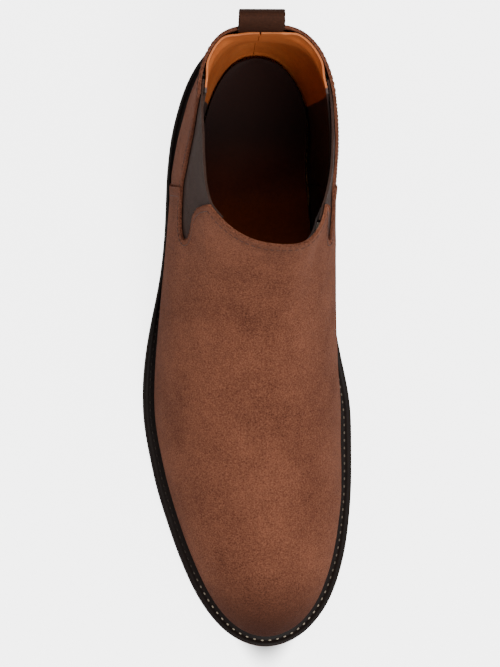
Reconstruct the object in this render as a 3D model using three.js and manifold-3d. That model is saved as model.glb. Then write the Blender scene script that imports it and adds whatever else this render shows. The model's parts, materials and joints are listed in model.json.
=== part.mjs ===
// A right-foot suede chelsea boot with elastic side gores, taken apart the way a shoemaker builds it.
// Millimetres. +X is the inner (medial) side, +Y the heel, +Z up, and the sole stands on Z = 0.
// The upper is one curved surface, the last, that every layer of the boot follows at its own depth.
import * as THREE from "three";
import { mergeVertices } from "three/addons/utils/BufferGeometryUtils.js";
import Module from "manifold-3d";

const wasm = await Module();
wasm.setup();

// ---------------------------------------------------------------- driving dimensions
const UPPER_LENGTH = 292.5; // toe tip to heel bulge, outside the suede
const BALL_WIDTH = 92; // the upper across the ball of the foot
const SHAFT_WIDTH = 58.6; // outside width of the topline, less its spread
const SHAFT_SPREAD = 3.3; // how much further the topline stands out on the inner side
const FRONT_RIM = 150; // height of the topline at the front
const BACK_RIM = 152; // height of the topline at the heel
const HEEL_HEIGHT = 20; // heel block and top piece, under the outsole
const TOE_SPRING = 9; // the sole's rise off the floor at the toe tip

const OUTSOLE = 5; // rubber thickness
const WELT = 3; // welt thickness
const WELT_FRONT = 5.6; // how far the welt shows outside the upper at the forefoot
const WELT_BACK = 3.6; // and round the heel
const WELT_INNER = 6; // how far the welt runs in under the upper
const SOLE_LIP = 0.5; // how far the outsole's edge shows outside the welt
const SUEDE = 1.4; // upper leather
const CORE = 1.2; // elastic, stiffeners and interlining, between upper and lining
const LINING = 0.9; // tan lining leather
const HEEL_CUP = 5.5; // how much thicker the padded lining grows round the heel's seat
const LASTED = 11; // how far the upper is drawn in under the insole board
const BOARD = 2.2; // insole board
const PAD = 2.4; // heel pad foam
const SOCK = 1.2; // sock lining
const GAP = 0.3; // clearance between pieces that touch
const SEAM_GAP = 0.4; // clearance at the edges where two upper panels meet

const TAB_WIDTH = 20; // pull tab webbing
const TAB_HEIGHT = 26; // the loop above the rim
const TAB_PLY = 0.9; // one thickness of webbing
const TAB_OPEN = 7.4; // the loop's inside gap at its widest
const TAB_LEAN = THREE.MathUtils.degToRad(8); // backward lean
const TAB_TAIL = 13; // how deep the sewn ends reach below the rim

const SHANK_WIDTH = 14;
const SHANK_THICK = 1.2;
const SHANK_TOP = 0.5; // its top face above the feather line, sunk in the cork
const NAIL_SHANK_R = 0.9;
const NAIL_HEAD_R = 2;
const NAIL_HEAD = 0.8;
const NAIL_BITE = 11; // how far a nail goes down into the heel block
const THREAD_R = 0.4; // welt seam

const SEGMENTS = 40; // round the last, toe to heel and back
const RINGS = 12; // from the sole's edge to the topline

// ---------------------------------------------------------------- curves
/** A smooth curve through [x, value] points that never overshoots between them. */
function curve(points) {
  const rise = points.slice(1).map(([x, v], i) => (v - points[i][1]) / (x - points[i][0]));
  const slope = points.map((_, i) => {
    if (i === 0) return rise[0];
    if (i === rise.length) return rise[i - 1];
    const [a, b] = [rise[i - 1], rise[i]];
    return a * b <= 0 ? 0 : (2 * a * b) / (a + b);
  });
  return (at) => {
    const x = THREE.MathUtils.clamp(at, points[0][0], points.at(-1)[0]);
    const i = Math.max(0, points.findIndex(([end]) => end >= x) - 1);
    const [[x0, v0], [x1, v1]] = [points[i], points[i + 1]];
    const h = x1 - x0;
    const t = (x - x0) / h;
    const from = (1 + 2 * t) * (1 - t) ** 2 * v0 + t * (1 - t) ** 2 * h * slope[i];
    return from + t * t * (3 - 2 * t) * v1 + t * t * (t - 1) * h * slope[i + 1];
  };
}

/** As curve, for an outline that starts square to its axis: its points are spaced by the root of x. */
function roundStart(points) {
  const through = curve(points.map(([x, v]) => [Math.sqrt(x), v]));
  return (x) => through(Math.sqrt(Math.max(x, 0)));
}

const { clamp, lerp, smoothstep } = THREE.MathUtils;

// ---------------------------------------------------------------- the last
// Places along the boot are shares of UPPER_LENGTH from the toe tip, and widths are shares of BALL_WIDTH.
const TOE_Y = 0;
const HEEL_Y = TOE_Y + UPPER_LENGTH;
const SHAFT_Y = TOE_Y + 0.805 * UPPER_LENGTH; // the middle of the topline's oval
const SEAT_START = 0.735; // the heel's breast
const STACK = OUTSOLE + GAP + WELT + GAP; // sole under the feather line, where upper meets welt
const INSTEP_Z = 95;
const BREAST_Y = TOE_Y + SEAT_START * UPPER_LENGTH;
const share = (y) => (y - TOE_Y) / UPPER_LENGTH;

/** Underside of the sole. */
const soleZ = curve([
  [-0.02, TOE_SPRING],
  [0.09, 0.47 * TOE_SPRING],
  [0.19, 0.13 * TOE_SPRING],
  [0.31, 0],
  [0.39, 0.03 * HEEL_HEIGHT],
  [0.51, 0.3 * HEEL_HEIGHT],
  [0.63, 0.72 * HEEL_HEIGHT],
  [SEAT_START - 0.01, HEEL_HEIGHT],
  [1.1, HEEL_HEIGHT],
]);
const underside = (y) => soleZ(share(y));
const feather = (y) => underside(y) + STACK;

const outerHalf = roundStart([
  [0, 0],
  [0.029, 0.207],
  [0.08, 0.319],
  [0.18, 0.438],
  [0.28, 0.512],
  [0.38, 0.546],
  [0.47, 0.533],
  [0.61, 0.492],
  [0.75, 0.448],
  [0.88, 0.391],
  [1, 0.375],
]);
const innerHalf = roundStart([
  [0, 0],
  [0.029, 0.207],
  [0.08, 0.311],
  [0.18, 0.402],
  [0.28, 0.439],
  [0.38, 0.45],
  [0.47, 0.433],
  [0.61, 0.42],
  [0.75, 0.402],
  [0.88, 0.402],
  [1, 0.392],
]);
const outerTuck = curve([
  [0, 0.8],
  [0.4, 0.8],
  [0.65, 3],
  [0.85, 0.5],
  [1, 0.5],
]);
const innerTuck = curve([
  [0, 0.8],
  [0.35, 0.8],
  [0.6, 7],
  [0.75, 4.5],
  [0.9, 1.5],
  [1, 1.5],
]);

/** Height of the ridge from toe tip to the front of the topline, [share, height]; the last point runs on past it. */
const shaftRise = (part) => INSTEP_Z + part * (FRONT_RIM - INSTEP_Z);
const RIDGE = [
  [0, feather(TOE_Y)],
  [0.0034, 24],
  [0.0154, 31],
  [0.0376, 38],
  [0.075, 44.2],
  [0.1265, 49.5],
  [0.188, 54.8],
  [0.256, 60.5],
  [0.325, 67],
  [0.39, 75.5],
  [0.451, 85],
  [0.506, INSTEP_Z],
  [0.55, shaftRise(0.21)],
  [0.586, shaftRise(0.43)],
  [0.615, shaftRise(0.68)],
  [0.636, FRONT_RIM],
  [0.65, shaftRise(1.35)],
];
const ridgeAt = roundStart(RIDGE);
const ridgeZ = (y) => ridgeAt(share(y));
const frontShare = curve(RIDGE.map(([part, z]) => [z, part]));
const frontY = (z) => TOE_Y + UPPER_LENGTH * frontShare(z);

const HEEL_NECK_Z = 82;
const neckRise = (part) => HEEL_NECK_Z + part * (BACK_RIM - HEEL_NECK_Z);
const heelSet = curve([
  [28.6, -2.5],
  [38, -0.6],
  [50, 0],
  [65, -0.8],
  [HEEL_NECK_Z, -3.2],
  [neckRise(0.23), -5.8],
  [neckRise(0.47), -8],
  [neckRise(0.71), -8.6],
  [neckRise(1), -8],
  [neckRise(1.3), -7.5],
]);
const backY = (z) => HEEL_Y + heelSet(z);

/** How far the upper stands out from its centreline at a place and height; side is -1 outer, 1 inner. */
function halfWidth(y, z, side) {
  const along = clamp(share(y), 0, 1);
  const full = BALL_WIDTH * (side < 0 ? outerHalf : innerHalf)(along);
  const low = clamp((z - feather(y)) / 18, 0, 1);
  const tuck = (side < 0 ? outerTuck : innerTuck)(along) * (1 - low) ** 2 * clamp(full / 20, 0, 1);
  const wide = full - tuck;
  const narrowing = clamp((z - 60) / (FRONT_RIM - 60), 0, 1.1) ** 1.3;
  const rim = SHAFT_WIDTH / 2 + (side < 0 ? 0 : SHAFT_SPREAD);
  const base = wide - (wide - rim) * narrowing;
  if (y >= SHAFT_Y) {
    const round = 2.2 + 0.8 * smoothstep(z, 60, BACK_RIM);
    const out = clamp((y - SHAFT_Y) / (backY(z) - SHAFT_Y), 0, 1);
    return base * (1 - out ** round) ** (1 / round);
  }
  const up = clamp((z - feather(y)) / Math.max(ridgeZ(y) - feather(y), 1e-6), 0, 1);
  const crown = (1 - up ** 2.2) ** 0.5;
  const round = 2 + 0.5 * smoothstep(z, 100, FRONT_RIM);
  const ahead = clamp((SHAFT_Y - y) / (SHAFT_Y - frontY(z)), 0, 1);
  const oval = (1 - ahead ** round) ** (1 / round);
  const mix = Math.max(smoothstep(z, 60, 110), smoothstep(y, 0.5 * UPPER_LENGTH, SHAFT_Y));
  return base * lerp(crown, oval, mix);
}

/** The centreline: it follows the big toe forward, and the shin's inward turn at the front of the topline. */
function centreX(y, z) {
  const toe = 5 * (1 - smoothstep(share(y), 0.026, 0.47));
  const turn = 9.8 * smoothstep(z, 60, FRONT_RIM);
  const shin = turn * clamp(1 - Math.sqrt(clamp((y - frontY(z)) / 18, 0, 1)), 0, 1);
  const back = 2 * smoothstep(z, 100, BACK_RIM) * clamp((y - SHAFT_Y) / (backY(z) - SHAFT_Y), 0, 1);
  return 2.2 + toe + shin - back;
}

// Rings climb from the feather line to the topline: [height on the ridge, height on the heel].
const heelRing = curve([
  [feather(TOE_Y), feather(HEEL_Y)],
  [31, 39],
  [44.2, 48],
  [54.8, 60],
  [75.5, 82],
  [INSTEP_Z, 99],
  [FRONT_RIM, BACK_RIM],
]);
const ringHeight = curve([
  [0, feather(TOE_Y)],
  [0.13, 31],
  [0.27, 44.2],
  [0.4, 54.8],
  [0.6, 75.5],
  [0.74, INSTEP_Z],
  [1, FRONT_RIM],
]);

/** One ring of points round the last; climb is 0 at the feather line and 1 at the topline. */
function ring(climb) {
  const front = ringHeight(climb);
  const back = heelRing(front);
  const y0 = climb === 0 ? TOE_Y : frontY(front);
  const y1 = backY(back);
  const flat = clamp(climb / 0.5, 0, 1);
  return Array.from({ length: SEGMENTS }, (_, i) => {
    const turn = (2 * Math.PI * i) / SEGMENTS;
    const along = (1 - Math.cos(turn)) / 2;
    const y = lerp(y0, y1, along);
    const sag = feather(y) - lerp(feather(y0), feather(y1), along);
    const z = lerp(front, back, along) + sag * (1 - flat);
    const side = i <= SEGMENTS / 2 ? -1 : 1;
    const half = i % (SEGMENTS / 2) === 0 ? 0 : halfWidth(y, z, side);
    return new THREE.Vector3(centreX(y, z) + side * half, y, z);
  });
}

const LAST = Array.from({ length: RINGS + 1 }, (_, k) => ring(k / RINGS));

/** Outward normals of the last at each ring point. */
const NORMALS = LAST.map((row, k) =>
  row.map((_, i) => {
    const around = row[(i + SEGMENTS - 1) % SEGMENTS].clone().sub(row[(i + 1) % SEGMENTS]);
    const climb = LAST[Math.min(k + 1, RINGS)][i].clone().sub(LAST[Math.max(k - 1, 0)][i]);
    return around.cross(climb).normalize();
  }),
);

/** The last at a depth below its outside, the same all over or a function of the outside's point. */
function atDepth(k, depth) {
  const below = (p) => (typeof depth === "function" ? depth(p) : depth);
  return LAST[k].map((p, i) => p.clone().addScaledVector(NORMALS[k][i], -below(p)));
}

/** The feather line moved out (or in, if negative) in plan, at heights given by place. */
const FEATHER_OUT = LAST[0].map((_, i) => {
  const before = LAST[0][(i + SEGMENTS - 1) % SEGMENTS];
  const after = LAST[0][(i + 1) % SEGMENTS];
  return new THREE.Vector3(before.y - after.y, after.x - before.x, 0).normalize();
});
function outline(grow, height) {
  return LAST[0].map((p, i) => {
    const by = typeof grow === "function" ? grow(p.y) : grow;
    const q = p.clone().addScaledVector(FEATHER_OUT[i], by);
    q.z = height(q.y);
    return q;
  });
}

// ---------------------------------------------------------------- solids
/** Triangles of a band between two rings of equal length, split along one diagonal or the other. */
function band(a, b, count, mirrored = false) {
  const faces = [];
  for (let i = 0; i < count; i++) {
    const j = (i + 1) % count;
    if (mirrored) faces.push([a + i, b + i, a + j], [b + i, b + j, a + j]);
    else faces.push([a + i, b + i, b + j], [a + i, b + j, a + j]);
  }
  return faces;
}

function geometryOf(points, faces) {
  const geometry = new THREE.BufferGeometry().setFromPoints(points);
  geometry.setIndex(faces.flat());
  return geometry;
}

/**
 * A closed skin or band: rings in order round its section, the last joined to the first. From the ring
 * numbered back the skin runs down its inside, whose facets are split to lie parallel to the outside's.
 */
function loopSolid(rows, back = rows.length) {
  const count = rows[0].length;
  const next = (r) => ((r + 1) % rows.length) * count;
  const faces = rows.flatMap((_, r) => band(r * count, next(r), count, r >= back));
  return geometryOf(rows.flat(), faces);
}

/** A closed slab: rings from bottom to top, with each end closed by strips from side to side. */
function slabSolid(rows) {
  const count = rows[0].length;
  const faces = rows.slice(1).flatMap((_, r) => band(r * count, (r + 1) * count, count));
  const top = (rows.length - 1) * count;
  for (let i = 0; i < count / 2; i++) {
    const [a, b] = [i, i + 1];
    const [c, d] = [(count - i) % count, count - i - 1];
    const strip = [];
    if (c !== a) strip.push([a, b, c]);
    if (b !== d) strip.push([b, d, c]);
    strip.forEach((face) => faces.push(face, [...face].reverse().map((v) => v + top)));
  }
  return geometryOf(rows.flat(), faces);
}

function solidOf(geometry) {
  const bare = geometry.clone();
  bare.deleteAttribute("normal");
  bare.deleteAttribute("uv");
  const merged = mergeVertices(bare, 1e-4);
  const solid = new wasm.Manifold(
    new wasm.Mesh({
      numProp: 3,
      vertProperties: merged.attributes.position.array,
      triVerts: new Uint32Array(merged.index.array),
    }),
  );
  return solid;
}

function geometryFrom(solid) {
  const mesh = solid.getMesh();
  const geometry = new THREE.BufferGeometry();
  geometry.setAttribute("position", new THREE.BufferAttribute(mesh.vertProperties, 3));
  geometry.setIndex(new THREE.BufferAttribute(mesh.triVerts, 1));
  return geometry;
}

/** A cutter through one side of the boot, from its outline in side view as [y, z] points. */
function sideCutter(points, side) {
  const shape = new THREE.Shape(points.map(([y, z]) => new THREE.Vector2(y, z)));
  const overlap = 1; // past the middle, so that the two sides' cutters join
  const cutter = new THREE.ExtrudeGeometry(shape, { depth: BALL_WIDTH + overlap, bevelEnabled: false });
  cutter.applyMatrix4(
    new THREE.Matrix4().makeBasis(
      new THREE.Vector3(0, 1, 0),
      new THREE.Vector3(0, 0, 1),
      new THREE.Vector3(1, 0, 0),
    ),
  );
  cutter.translate(centreX(SHAFT_Y, 0) - (side < 0 ? BALL_WIDTH : overlap), 0, 0);
  return solidOf(cutter);
}

/** A block between two corners. */
function block(low, high) {
  const size = new THREE.Vector3().subVectors(high, low);
  const box = new THREE.BoxGeometry(size.x, size.y, size.z);
  box.translate(low.x + size.x / 2, low.y + size.y / 2, low.z + size.z / 2);
  return solidOf(box);
}

const boot = new THREE.Group();
const hex = (value, roughness, metalness = 0) =>
  new THREE.MeshStandardMaterial({ color: value, roughness, metalness });
const MATERIALS = {
  suede: hex(0x7c4a33, 0.95),
  elastic: hex(0x3a302c, 0.8),
  webbing: hex(0x3b2622, 0.75),
  lining: hex(0x96501f, 0.55),
  sock: hex(0x2a130a, 0.6),
  board: hex(0xa08763, 0.9),
  stiffener: hex(0xcfc4ae, 0.8),
  interlining: hex(0xd8d0c0, 0.95),
  foam: hex(0x55514c, 0.95),
  cork: hex(0xa47b4e, 0.95),
  steel: hex(0x9ea3a6, 0.35, 1),
  welt: hex(0x2b2320, 0.5),
  rubber: hex(0x33241d, 0.6),
  stack: hex(0x3a271d, 0.55),
  thread: hex(0x8d8070, 0.7),
};

function add(name, geometry, material) {
  const mesh = new THREE.Mesh(geometry, MATERIALS[material]);
  mesh.name = name;
  boot.add(mesh);
}
const addSolid = (name, solid, material) => add(name, geometryFrom(solid), material);

// ---------------------------------------------------------------- panels in side view, as [y, z]
const RIM_OVER = Math.max(FRONT_RIM, BACK_RIM) + 20;
const at = (part, z) => [TOE_Y + part * UPPER_LENGTH, z];
const up = (part) => shaftRise(part);

/** The side opening in the suede that the gore fills, moved outward by margin. */
function goreOutline(margin) {
  const edge = [
    at(0.699, RIM_OVER),
    at(0.699, up(0.95)),
    at(0.698, up(0.6)),
    at(0.691, up(0.38)),
    at(0.683, up(0.27)),
    at(0.671, up(0.18)),
    at(0.655, up(0.05)),
    at(0.65, up(-0.06)),
    at(0.656, up(-0.13)),
    at(0.67, up(-0.165)),
    at(0.69, up(-0.155)),
    at(0.71, up(-0.11)),
    at(0.743, up(0.0)),
    at(0.773, up(0.24)),
    at(0.807, up(0.49)),
    at(0.849, up(0.78)),
    at(0.869, up(0.98)),
    at(0.872, RIM_OVER),
  ];
  return edge.map(([y, z], i) => {
    if (i === 0 || i === edge.length - 1) return [y + (i ? margin : -margin), z];
    const [before, after] = [edge[i - 1], edge[i + 1]];
    const inward = new THREE.Vector2(before[1] - after[1], after[0] - before[0]).normalize();
    return [y - inward.x * margin, z - inward.y * margin];
  });
}

/** Behind the side seam: the quarter's part of the upper, moved back by inset. */
const SEAM_TOP = at(0.735, up(-0.03));
const SEAM_FOOT = at(0.755, 0);
function quarterOutline(inset) {
  return [
    [SEAM_FOOT[0] + inset, SEAM_FOOT[1]],
    [SEAM_TOP[0] + inset, SEAM_TOP[1]],
    [SEAM_TOP[0] + inset, RIM_OVER],
    [HEEL_Y + 40, RIM_OVER],
    [HEEL_Y + 40, 0],
  ];
}

/** The stiffened seat round the heel, in side view. */
const counterOutline = (grow) => [
  at(0.8, 0).map((v, i) => (i ? v : v - grow)),
  at(0.82, HEEL_HEIGHT + 40 + grow),
  at(0.93, HEEL_HEIGHT + 56 + grow),
  [HEEL_Y + 40, HEEL_HEIGHT + 58 + grow],
  [HEEL_Y + 40, 0],
];

/** The stiffened toe, in side view. */
const puffOutline = (grow) => [
  [TOE_Y - 40, 0],
  [TOE_Y - 40, RIM_OVER],
  at(0.13, RIM_OVER).map((v, i) => (i ? v : v + grow)),
  at(0.17, 0).map((v, i) => (i ? v : v + grow)),
];

// ---------------------------------------------------------------- layers of the upper
const cupDepth = (y) => HEEL_CUP * smoothstep(y, SHAFT_Y - 50, SHAFT_Y);
const CORE_DEPTH = SUEDE + GAP;
const LINING_DEPTH = CORE_DEPTH + CORE + GAP;
const INSOLE_TOP = SUEDE + GAP + BOARD; // above the feather line

/** A ring's points moved along the wall towards the next ring, to this far above ring k of the last. */
const slide = (row, next, k, above) =>
  row.map((p, i) => p.clone().lerp(next[i], (LAST[k][i].z + above - p.z) / (next[i].z - p.z)));

/** A wall of the upper between two depths, from lift above the feather line to drop below the rim. */
function wall(depth, inside, lift, drop) {
  const shape = (d) => {
    const rows = LAST.map((_, k) => atDepth(k, d));
    const foot = slide(rows[0], rows[1], 0, lift);
    const rim = slide(rows[RINGS], rows[RINGS - 1], RINGS, -drop);
    return [foot, ...rows.slice(1, -1), rim];
  };
  return solidOf(loopSolid([...shape(depth), ...shape(inside).reverse()], LAST.length));
}

/** The suede: a wall, with its lasting margin turned in under the insole board. */
function suedeShell() {
  const outside = LAST.map((_, k) => atDepth(k, 0));
  const inside = LAST.map((_, k) => atDepth(k, SUEDE));
  inside[0] = slide(inside[0], inside[1], 0, SUEDE);
  const margin = outline(-LASTED, feather);
  const marginTop = outline(-LASTED, (y) => feather(y) + SUEDE);
  return solidOf(loopSolid([margin, ...outside, ...inside.reverse(), marginTop], LAST.length + 1));
}

function bothSides(make) {
  return [-1, 1].map(make).reduce((a, b) => a.add(b));
}

function addUpper() {
  const suede = suedeShell();
  const gores = bothSides((side) => sideCutter(goreOutline(0), side));
  const open = suede.subtract(gores);
  const middle = centreX(HEEL_Y, BACK_RIM);
  const quarters = bothSides((side) => sideCutter(quarterOutline(0), side));
  addSolid("vamp", open.subtract(quarters), "suede");
  const heelParts = open.intersect(bothSides((side) => sideCutter(quarterOutline(SEAM_GAP), side)));
  const halves = splitAt(heelParts, middle - 1);
  addSolid("quarter_outer", halves[0], "suede");
  addSolid("quarter_inner", halves[1], "suede");
}

/** The parts of a solid left and right of a lengthwise plane, with the seam's clearance between them. */
function splitAt(solid, x) {
  const far = 2 * UPPER_LENGTH;
  const left = block(new THREE.Vector3(-far, -far, -far), new THREE.Vector3(x - SEAM_GAP / 2, far, far));
  const right = block(new THREE.Vector3(x + SEAM_GAP / 2, -far, -far), new THREE.Vector3(far, far, far));
  return [solid.intersect(left), solid.intersect(right)];
}

/** Elastic gores, stiffeners and interlinings share the middle layer edge to edge. */
function addCore() {
  const GORE_HEM = 7; // how far the elastic runs in under the suede
  const core = wall(CORE_DEPTH, CORE_DEPTH + CORE, SUEDE + GAP, 1);
  const goreCut = (grow) => bothSides((side) => sideCutter(goreOutline(grow), side));
  const gores = core.intersect(goreCut(GORE_HEM));
  const [goreOuter, goreInner] = splitAt(gores, centreX(SHAFT_Y, 0));
  addSolid("gore_outer", goreOuter, "elastic");
  addSolid("gore_inner", goreInner, "elastic");
  const counter = bothSides((side) => sideCutter(counterOutline(0), side));
  const counterRoom = bothSides((side) => sideCutter(counterOutline(SEAM_GAP), side));
  const puff = bothSides((side) => sideCutter(puffOutline(0), side));
  const puffRoom = bothSides((side) => sideCutter(puffOutline(SEAM_GAP), side));
  addSolid("heel_counter", core.intersect(counter), "stiffener");
  addSolid("toe_puff", core.intersect(puff), "stiffener");
  const rest = core.subtract(goreCut(GORE_HEM + SEAM_GAP)).subtract(counterRoom).subtract(puffRoom);
  const tails = tabTails(0);
  addSolid("pull_tab_tails", core.intersect(tails), "webbing");
  const [front, back] = frontAndBack(rest.subtract(tabTails(SEAM_GAP)));
  addSolid("interlining_vamp", front, "interlining");
  addSolid("interlining_quarter", back, "interlining");
}

/** The room that the webbing's sewn ends take in the heel's rim. */
function tabTails(grow) {
  const x = centreX(backY(BACK_RIM), BACK_RIM);
  const half = TAB_WIDTH / 2 + grow;
  return block(
    new THREE.Vector3(x - half, SHAFT_Y, BACK_RIM - TAB_TAIL - grow),
    new THREE.Vector3(x + half, HEEL_Y + 10, RIM_OVER),
  );
}

/** A layer's parts ahead of and behind the side seams. */
function frontAndBack(solid) {
  const behind = (inset) => bothSides((side) => sideCutter(quarterOutline(inset), side));
  return [solid.subtract(behind(0)), solid.intersect(behind(SEAM_GAP))];
}

/** Tan lining: vamp and two heel halves that meet in a seam, all open at the gores. */
function addLining() {
  const padded = (p) => {
    const low = 1 - smoothstep(p.z, HEEL_HEIGHT + 14, HEEL_HEIGHT + 80);
    return LINING_DEPTH + LINING + cupDepth(p.y) * low;
  };
  const lining = wall(LINING_DEPTH, padded, SUEDE + GAP, 0.5);
  const open = lining.subtract(bothSides((side) => sideCutter(goreOutline(1), side)));
  const [front, back] = frontAndBack(open);
  addSolid("lining_vamp", front, "lining");
  const [outer, inner] = splitAt(back, centreX(HEEL_Y, BACK_RIM));
  addSolid("lining_quarter_outer", outer, "lining");
  addSolid("lining_quarter_inner", inner, "lining");
}

// ---------------------------------------------------------------- inside the shoe
const footbedIn = (y) => -(LINING_DEPTH + LINING + 1.3 + cupDepth(y)); // its edge, from the feather line
const padRise = curve([
  [0.62, 0],
  [0.74, 0.85 * PAD],
  [0.9, PAD],
  [1.1, PAD],
]);
const padHeight = (y) => padRise(share(y));

/** Insole board, heel pad and sock lining, stacked on the lasted margin. */
function addFootbed() {
  const over = (lift) => (y) => feather(y) + lift;
  const boardFoot = SUEDE + GAP;
  add(
    "insole_board",
    slabSolid([outline(footbedIn, over(boardFoot)), outline(footbedIn, over(INSOLE_TOP))]),
    "board",
  );
  const padFoot = INSOLE_TOP + GAP;
  const padIn = (y) => footbedIn(y) - 3;
  const pad = slabSolid([
    outline(padIn, over(padFoot)),
    outline(padIn, (y) => feather(y) + padFoot + padHeight(y) + 0.01),
  ]);
  const padRoom = block(
    new THREE.Vector3(-BALL_WIDTH, TOE_Y + 0.66 * UPPER_LENGTH, 0),
    new THREE.Vector3(BALL_WIDTH, HEEL_Y, BACK_RIM),
  );
  addSolid("heel_pad", solidOf(pad).intersect(padRoom), "foam");
  const sockFoot = (y) => feather(y) + padFoot + padHeight(y) + GAP;
  const sock = [outline(footbedIn, sockFoot), outline(footbedIn, (y) => sockFoot(y) + SOCK)];
  add("sock_lining", slabSolid(sock), "sock");
}

// ---------------------------------------------------------------- bottom
const weltReach = (y) =>
  lerp(WELT_FRONT, WELT_BACK, smoothstep(share(y), 0.42, 0.62)) - 0.6 * (1 - smoothstep(share(y), 0, 0.1));
const outsoleTop = (y) => underside(y) + OUTSOLE;
const weltFoot = (y) => outsoleTop(y) + GAP;
const weltTop = (y) => weltFoot(y) + WELT;

/** Points of a nail's axis in the heel seat, in a horseshoe. */
const NAILS = [-62, -31, 0, 31, 62].map((degrees) => {
  const turn = THREE.MathUtils.degToRad(degrees);
  const seat = (BREAST_Y + HEEL_Y) / 2;
  const across = 0.24 * BALL_WIDTH * Math.sin(turn);
  return [centreX(seat, 0) + across, seat + 0.31 * (HEEL_Y - BREAST_Y) * Math.cos(turn)];
});
const NAIL_TOP = HEEL_HEIGHT + OUTSOLE + GAP;

/** A nail with a flat head, or the room it takes. */
function nail([x, y], clearance) {
  const foot = NAIL_TOP - OUTSOLE - NAIL_BITE - clearance;
  const r = NAIL_SHANK_R + clearance;
  const head = NAIL_HEAD_R + clearance;
  const profile = [
    [0, foot],
    [0.5 * r, foot],
    [r, foot + 2],
    [r, NAIL_TOP - clearance],
    [head, NAIL_TOP - clearance],
    [head, NAIL_TOP + NAIL_HEAD + clearance],
    [0, NAIL_TOP + NAIL_HEAD + clearance],
  ].map(([radius, z]) => new THREE.Vector2(radius, z));
  const turned = new THREE.LatheGeometry(profile, 8);
  turned.rotateX(Math.PI / 2);
  turned.translate(x, y, 0);
  return turned;
}
const nailRoom = NAILS.map((place) => solidOf(nail(place, GAP))).reduce((a, b) => a.add(b));

/** The steel shank, a flat bow from the ball to the heel seat, or the open recess it lies in. */
function shank(grow, roof = 0) {
  const from = TOE_Y + 0.42 * UPPER_LENGTH - grow;
  const to = TOE_Y + 0.84 * UPPER_LENGTH + grow;
  const half = SHANK_WIDTH / 2 + grow;
  const steps = 12;
  const rows = Array.from({ length: steps + 1 }, (_, i) => {
    const y = lerp(from, to, i / steps);
    const x = centreX(y, 0);
    const top = feather(y) + SHANK_TOP + roof;
    const foot = feather(y) + SHANK_TOP - SHANK_THICK - grow;
    return [
      new THREE.Vector3(x - half, y, foot),
      new THREE.Vector3(x + half, y, foot),
      new THREE.Vector3(x + half, y, top),
      new THREE.Vector3(x - half, y, top),
    ];
  });
  const faces = rows.slice(1).flatMap((_, i) => band(4 * i, 4 * i + 4, 4));
  const end = 4 * steps;
  faces.push([0, 1, 2], [0, 2, 3], [end, end + 2, end + 1], [end, end + 3, end + 2]);
  return geometryOf(rows.flat(), faces);
}

/** Welt, cork filler, shank and outsole. */
function addSole() {
  const weltIn = -WELT_INNER;
  add(
    "welt",
    loopSolid([
      outline(weltIn, weltFoot),
      outline(weltReach, weltFoot),
      outline(weltReach, (y) => weltTop(y) - 0.8),
      outline((y) => weltReach(y) - 0.8, weltTop),
      outline(weltIn, weltTop),
    ]),
    "welt",
  );
  const corkIn = -WELT_INNER - GAP;
  const lastedIn = -LASTED - GAP;
  const cork = slabSolid([
    outline(corkIn, weltFoot),
    outline(corkIn, weltTop),
    outline(lastedIn, (y) => weltTop(y) + 0.05),
    outline(lastedIn, (y) => feather(y) + SUEDE),
  ]);
  const shankRoom = solidOf(shank(GAP, STACK));
  addSolid("cork_filler", solidOf(cork).subtract(shankRoom).subtract(nailRoom), "cork");
  add("shank", shank(0), "steel");
  const lip = (y) => weltReach(y) + SOLE_LIP;
  const outsole = slabSolid([
    outline((y) => lip(y) - 1.2, underside),
    outline(lip, (y) => underside(y) + 1.4),
    outline(lip, (y) => outsoleTop(y) - 0.6),
    outline((y) => lip(y) - 0.6, outsoleTop),
  ]);
  addSolid("outsole", solidOf(outsole).subtract(nailRoom), "rubber");
  NAILS.forEach((place, i) => add(`heel_nail_${i + 1}`, nail(place, 0), "steel"));
}

/** The heel: a rubber top piece under two leather lifts, tapering to the floor. */
function addHeel() {
  const TOP_PIECE = 6;
  const TAPER = 2.2; // how far the heel draws in from seat to floor
  const lift = (HEEL_HEIGHT - TOP_PIECE) / 2;
  const layers = [
    ["heel_top_piece", 0, TOP_PIECE, "rubber"],
    ["heel_lift_lower", TOP_PIECE, TOP_PIECE + lift, "stack"],
    ["heel_lift_upper", TOP_PIECE + lift, HEEL_HEIGHT, "stack"],
  ];
  const drawIn = (z) => (y) => weltReach(y) - TAPER * (1 - z / HEEL_HEIGHT);
  const behindBreast = block(
    new THREE.Vector3(-BALL_WIDTH, BREAST_Y + 1, -1),
    new THREE.Vector3(BALL_WIDTH, HEEL_Y + 40, HEEL_HEIGHT + 1),
  );
  layers.forEach(([name, foot, top, material]) => {
    const high = top - GAP;
    const layer = slabSolid([outline(drawIn(foot), () => foot), outline(drawIn(high), () => high)]);
    addSolid(name, solidOf(layer).intersect(behindBreast).subtract(nailRoom), material);
  });
}

/** The seam that shows along the welt from breast to breast: one thread laid on its top face. */
function addWeltSeam() {
  const line = outline((y) => 0.48 * weltReach(y), (y) => weltTop(y) + GAP + THREAD_R);
  const shown = line.filter((p) => p.y < BREAST_Y - 6);
  const fromToe = shown.findIndex((p, i) => i && p.distanceTo(shown[i - 1]) > 60);
  const ordered = [...shown.slice(fromToe), ...shown.slice(0, fromToe)];
  const path = new THREE.CatmullRomCurve3(ordered);
  const section = new THREE.Shape(
    Array.from({ length: 5 }, (_, i) => {
      const turn = (2 * Math.PI * i) / 5;
      return new THREE.Vector2(THREAD_R * Math.cos(turn), THREAD_R * Math.sin(turn));
    }),
  );
  add("welt_seam", new THREE.ExtrudeGeometry(section, { steps: 72, extrudePath: path }), "thread");
}

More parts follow.
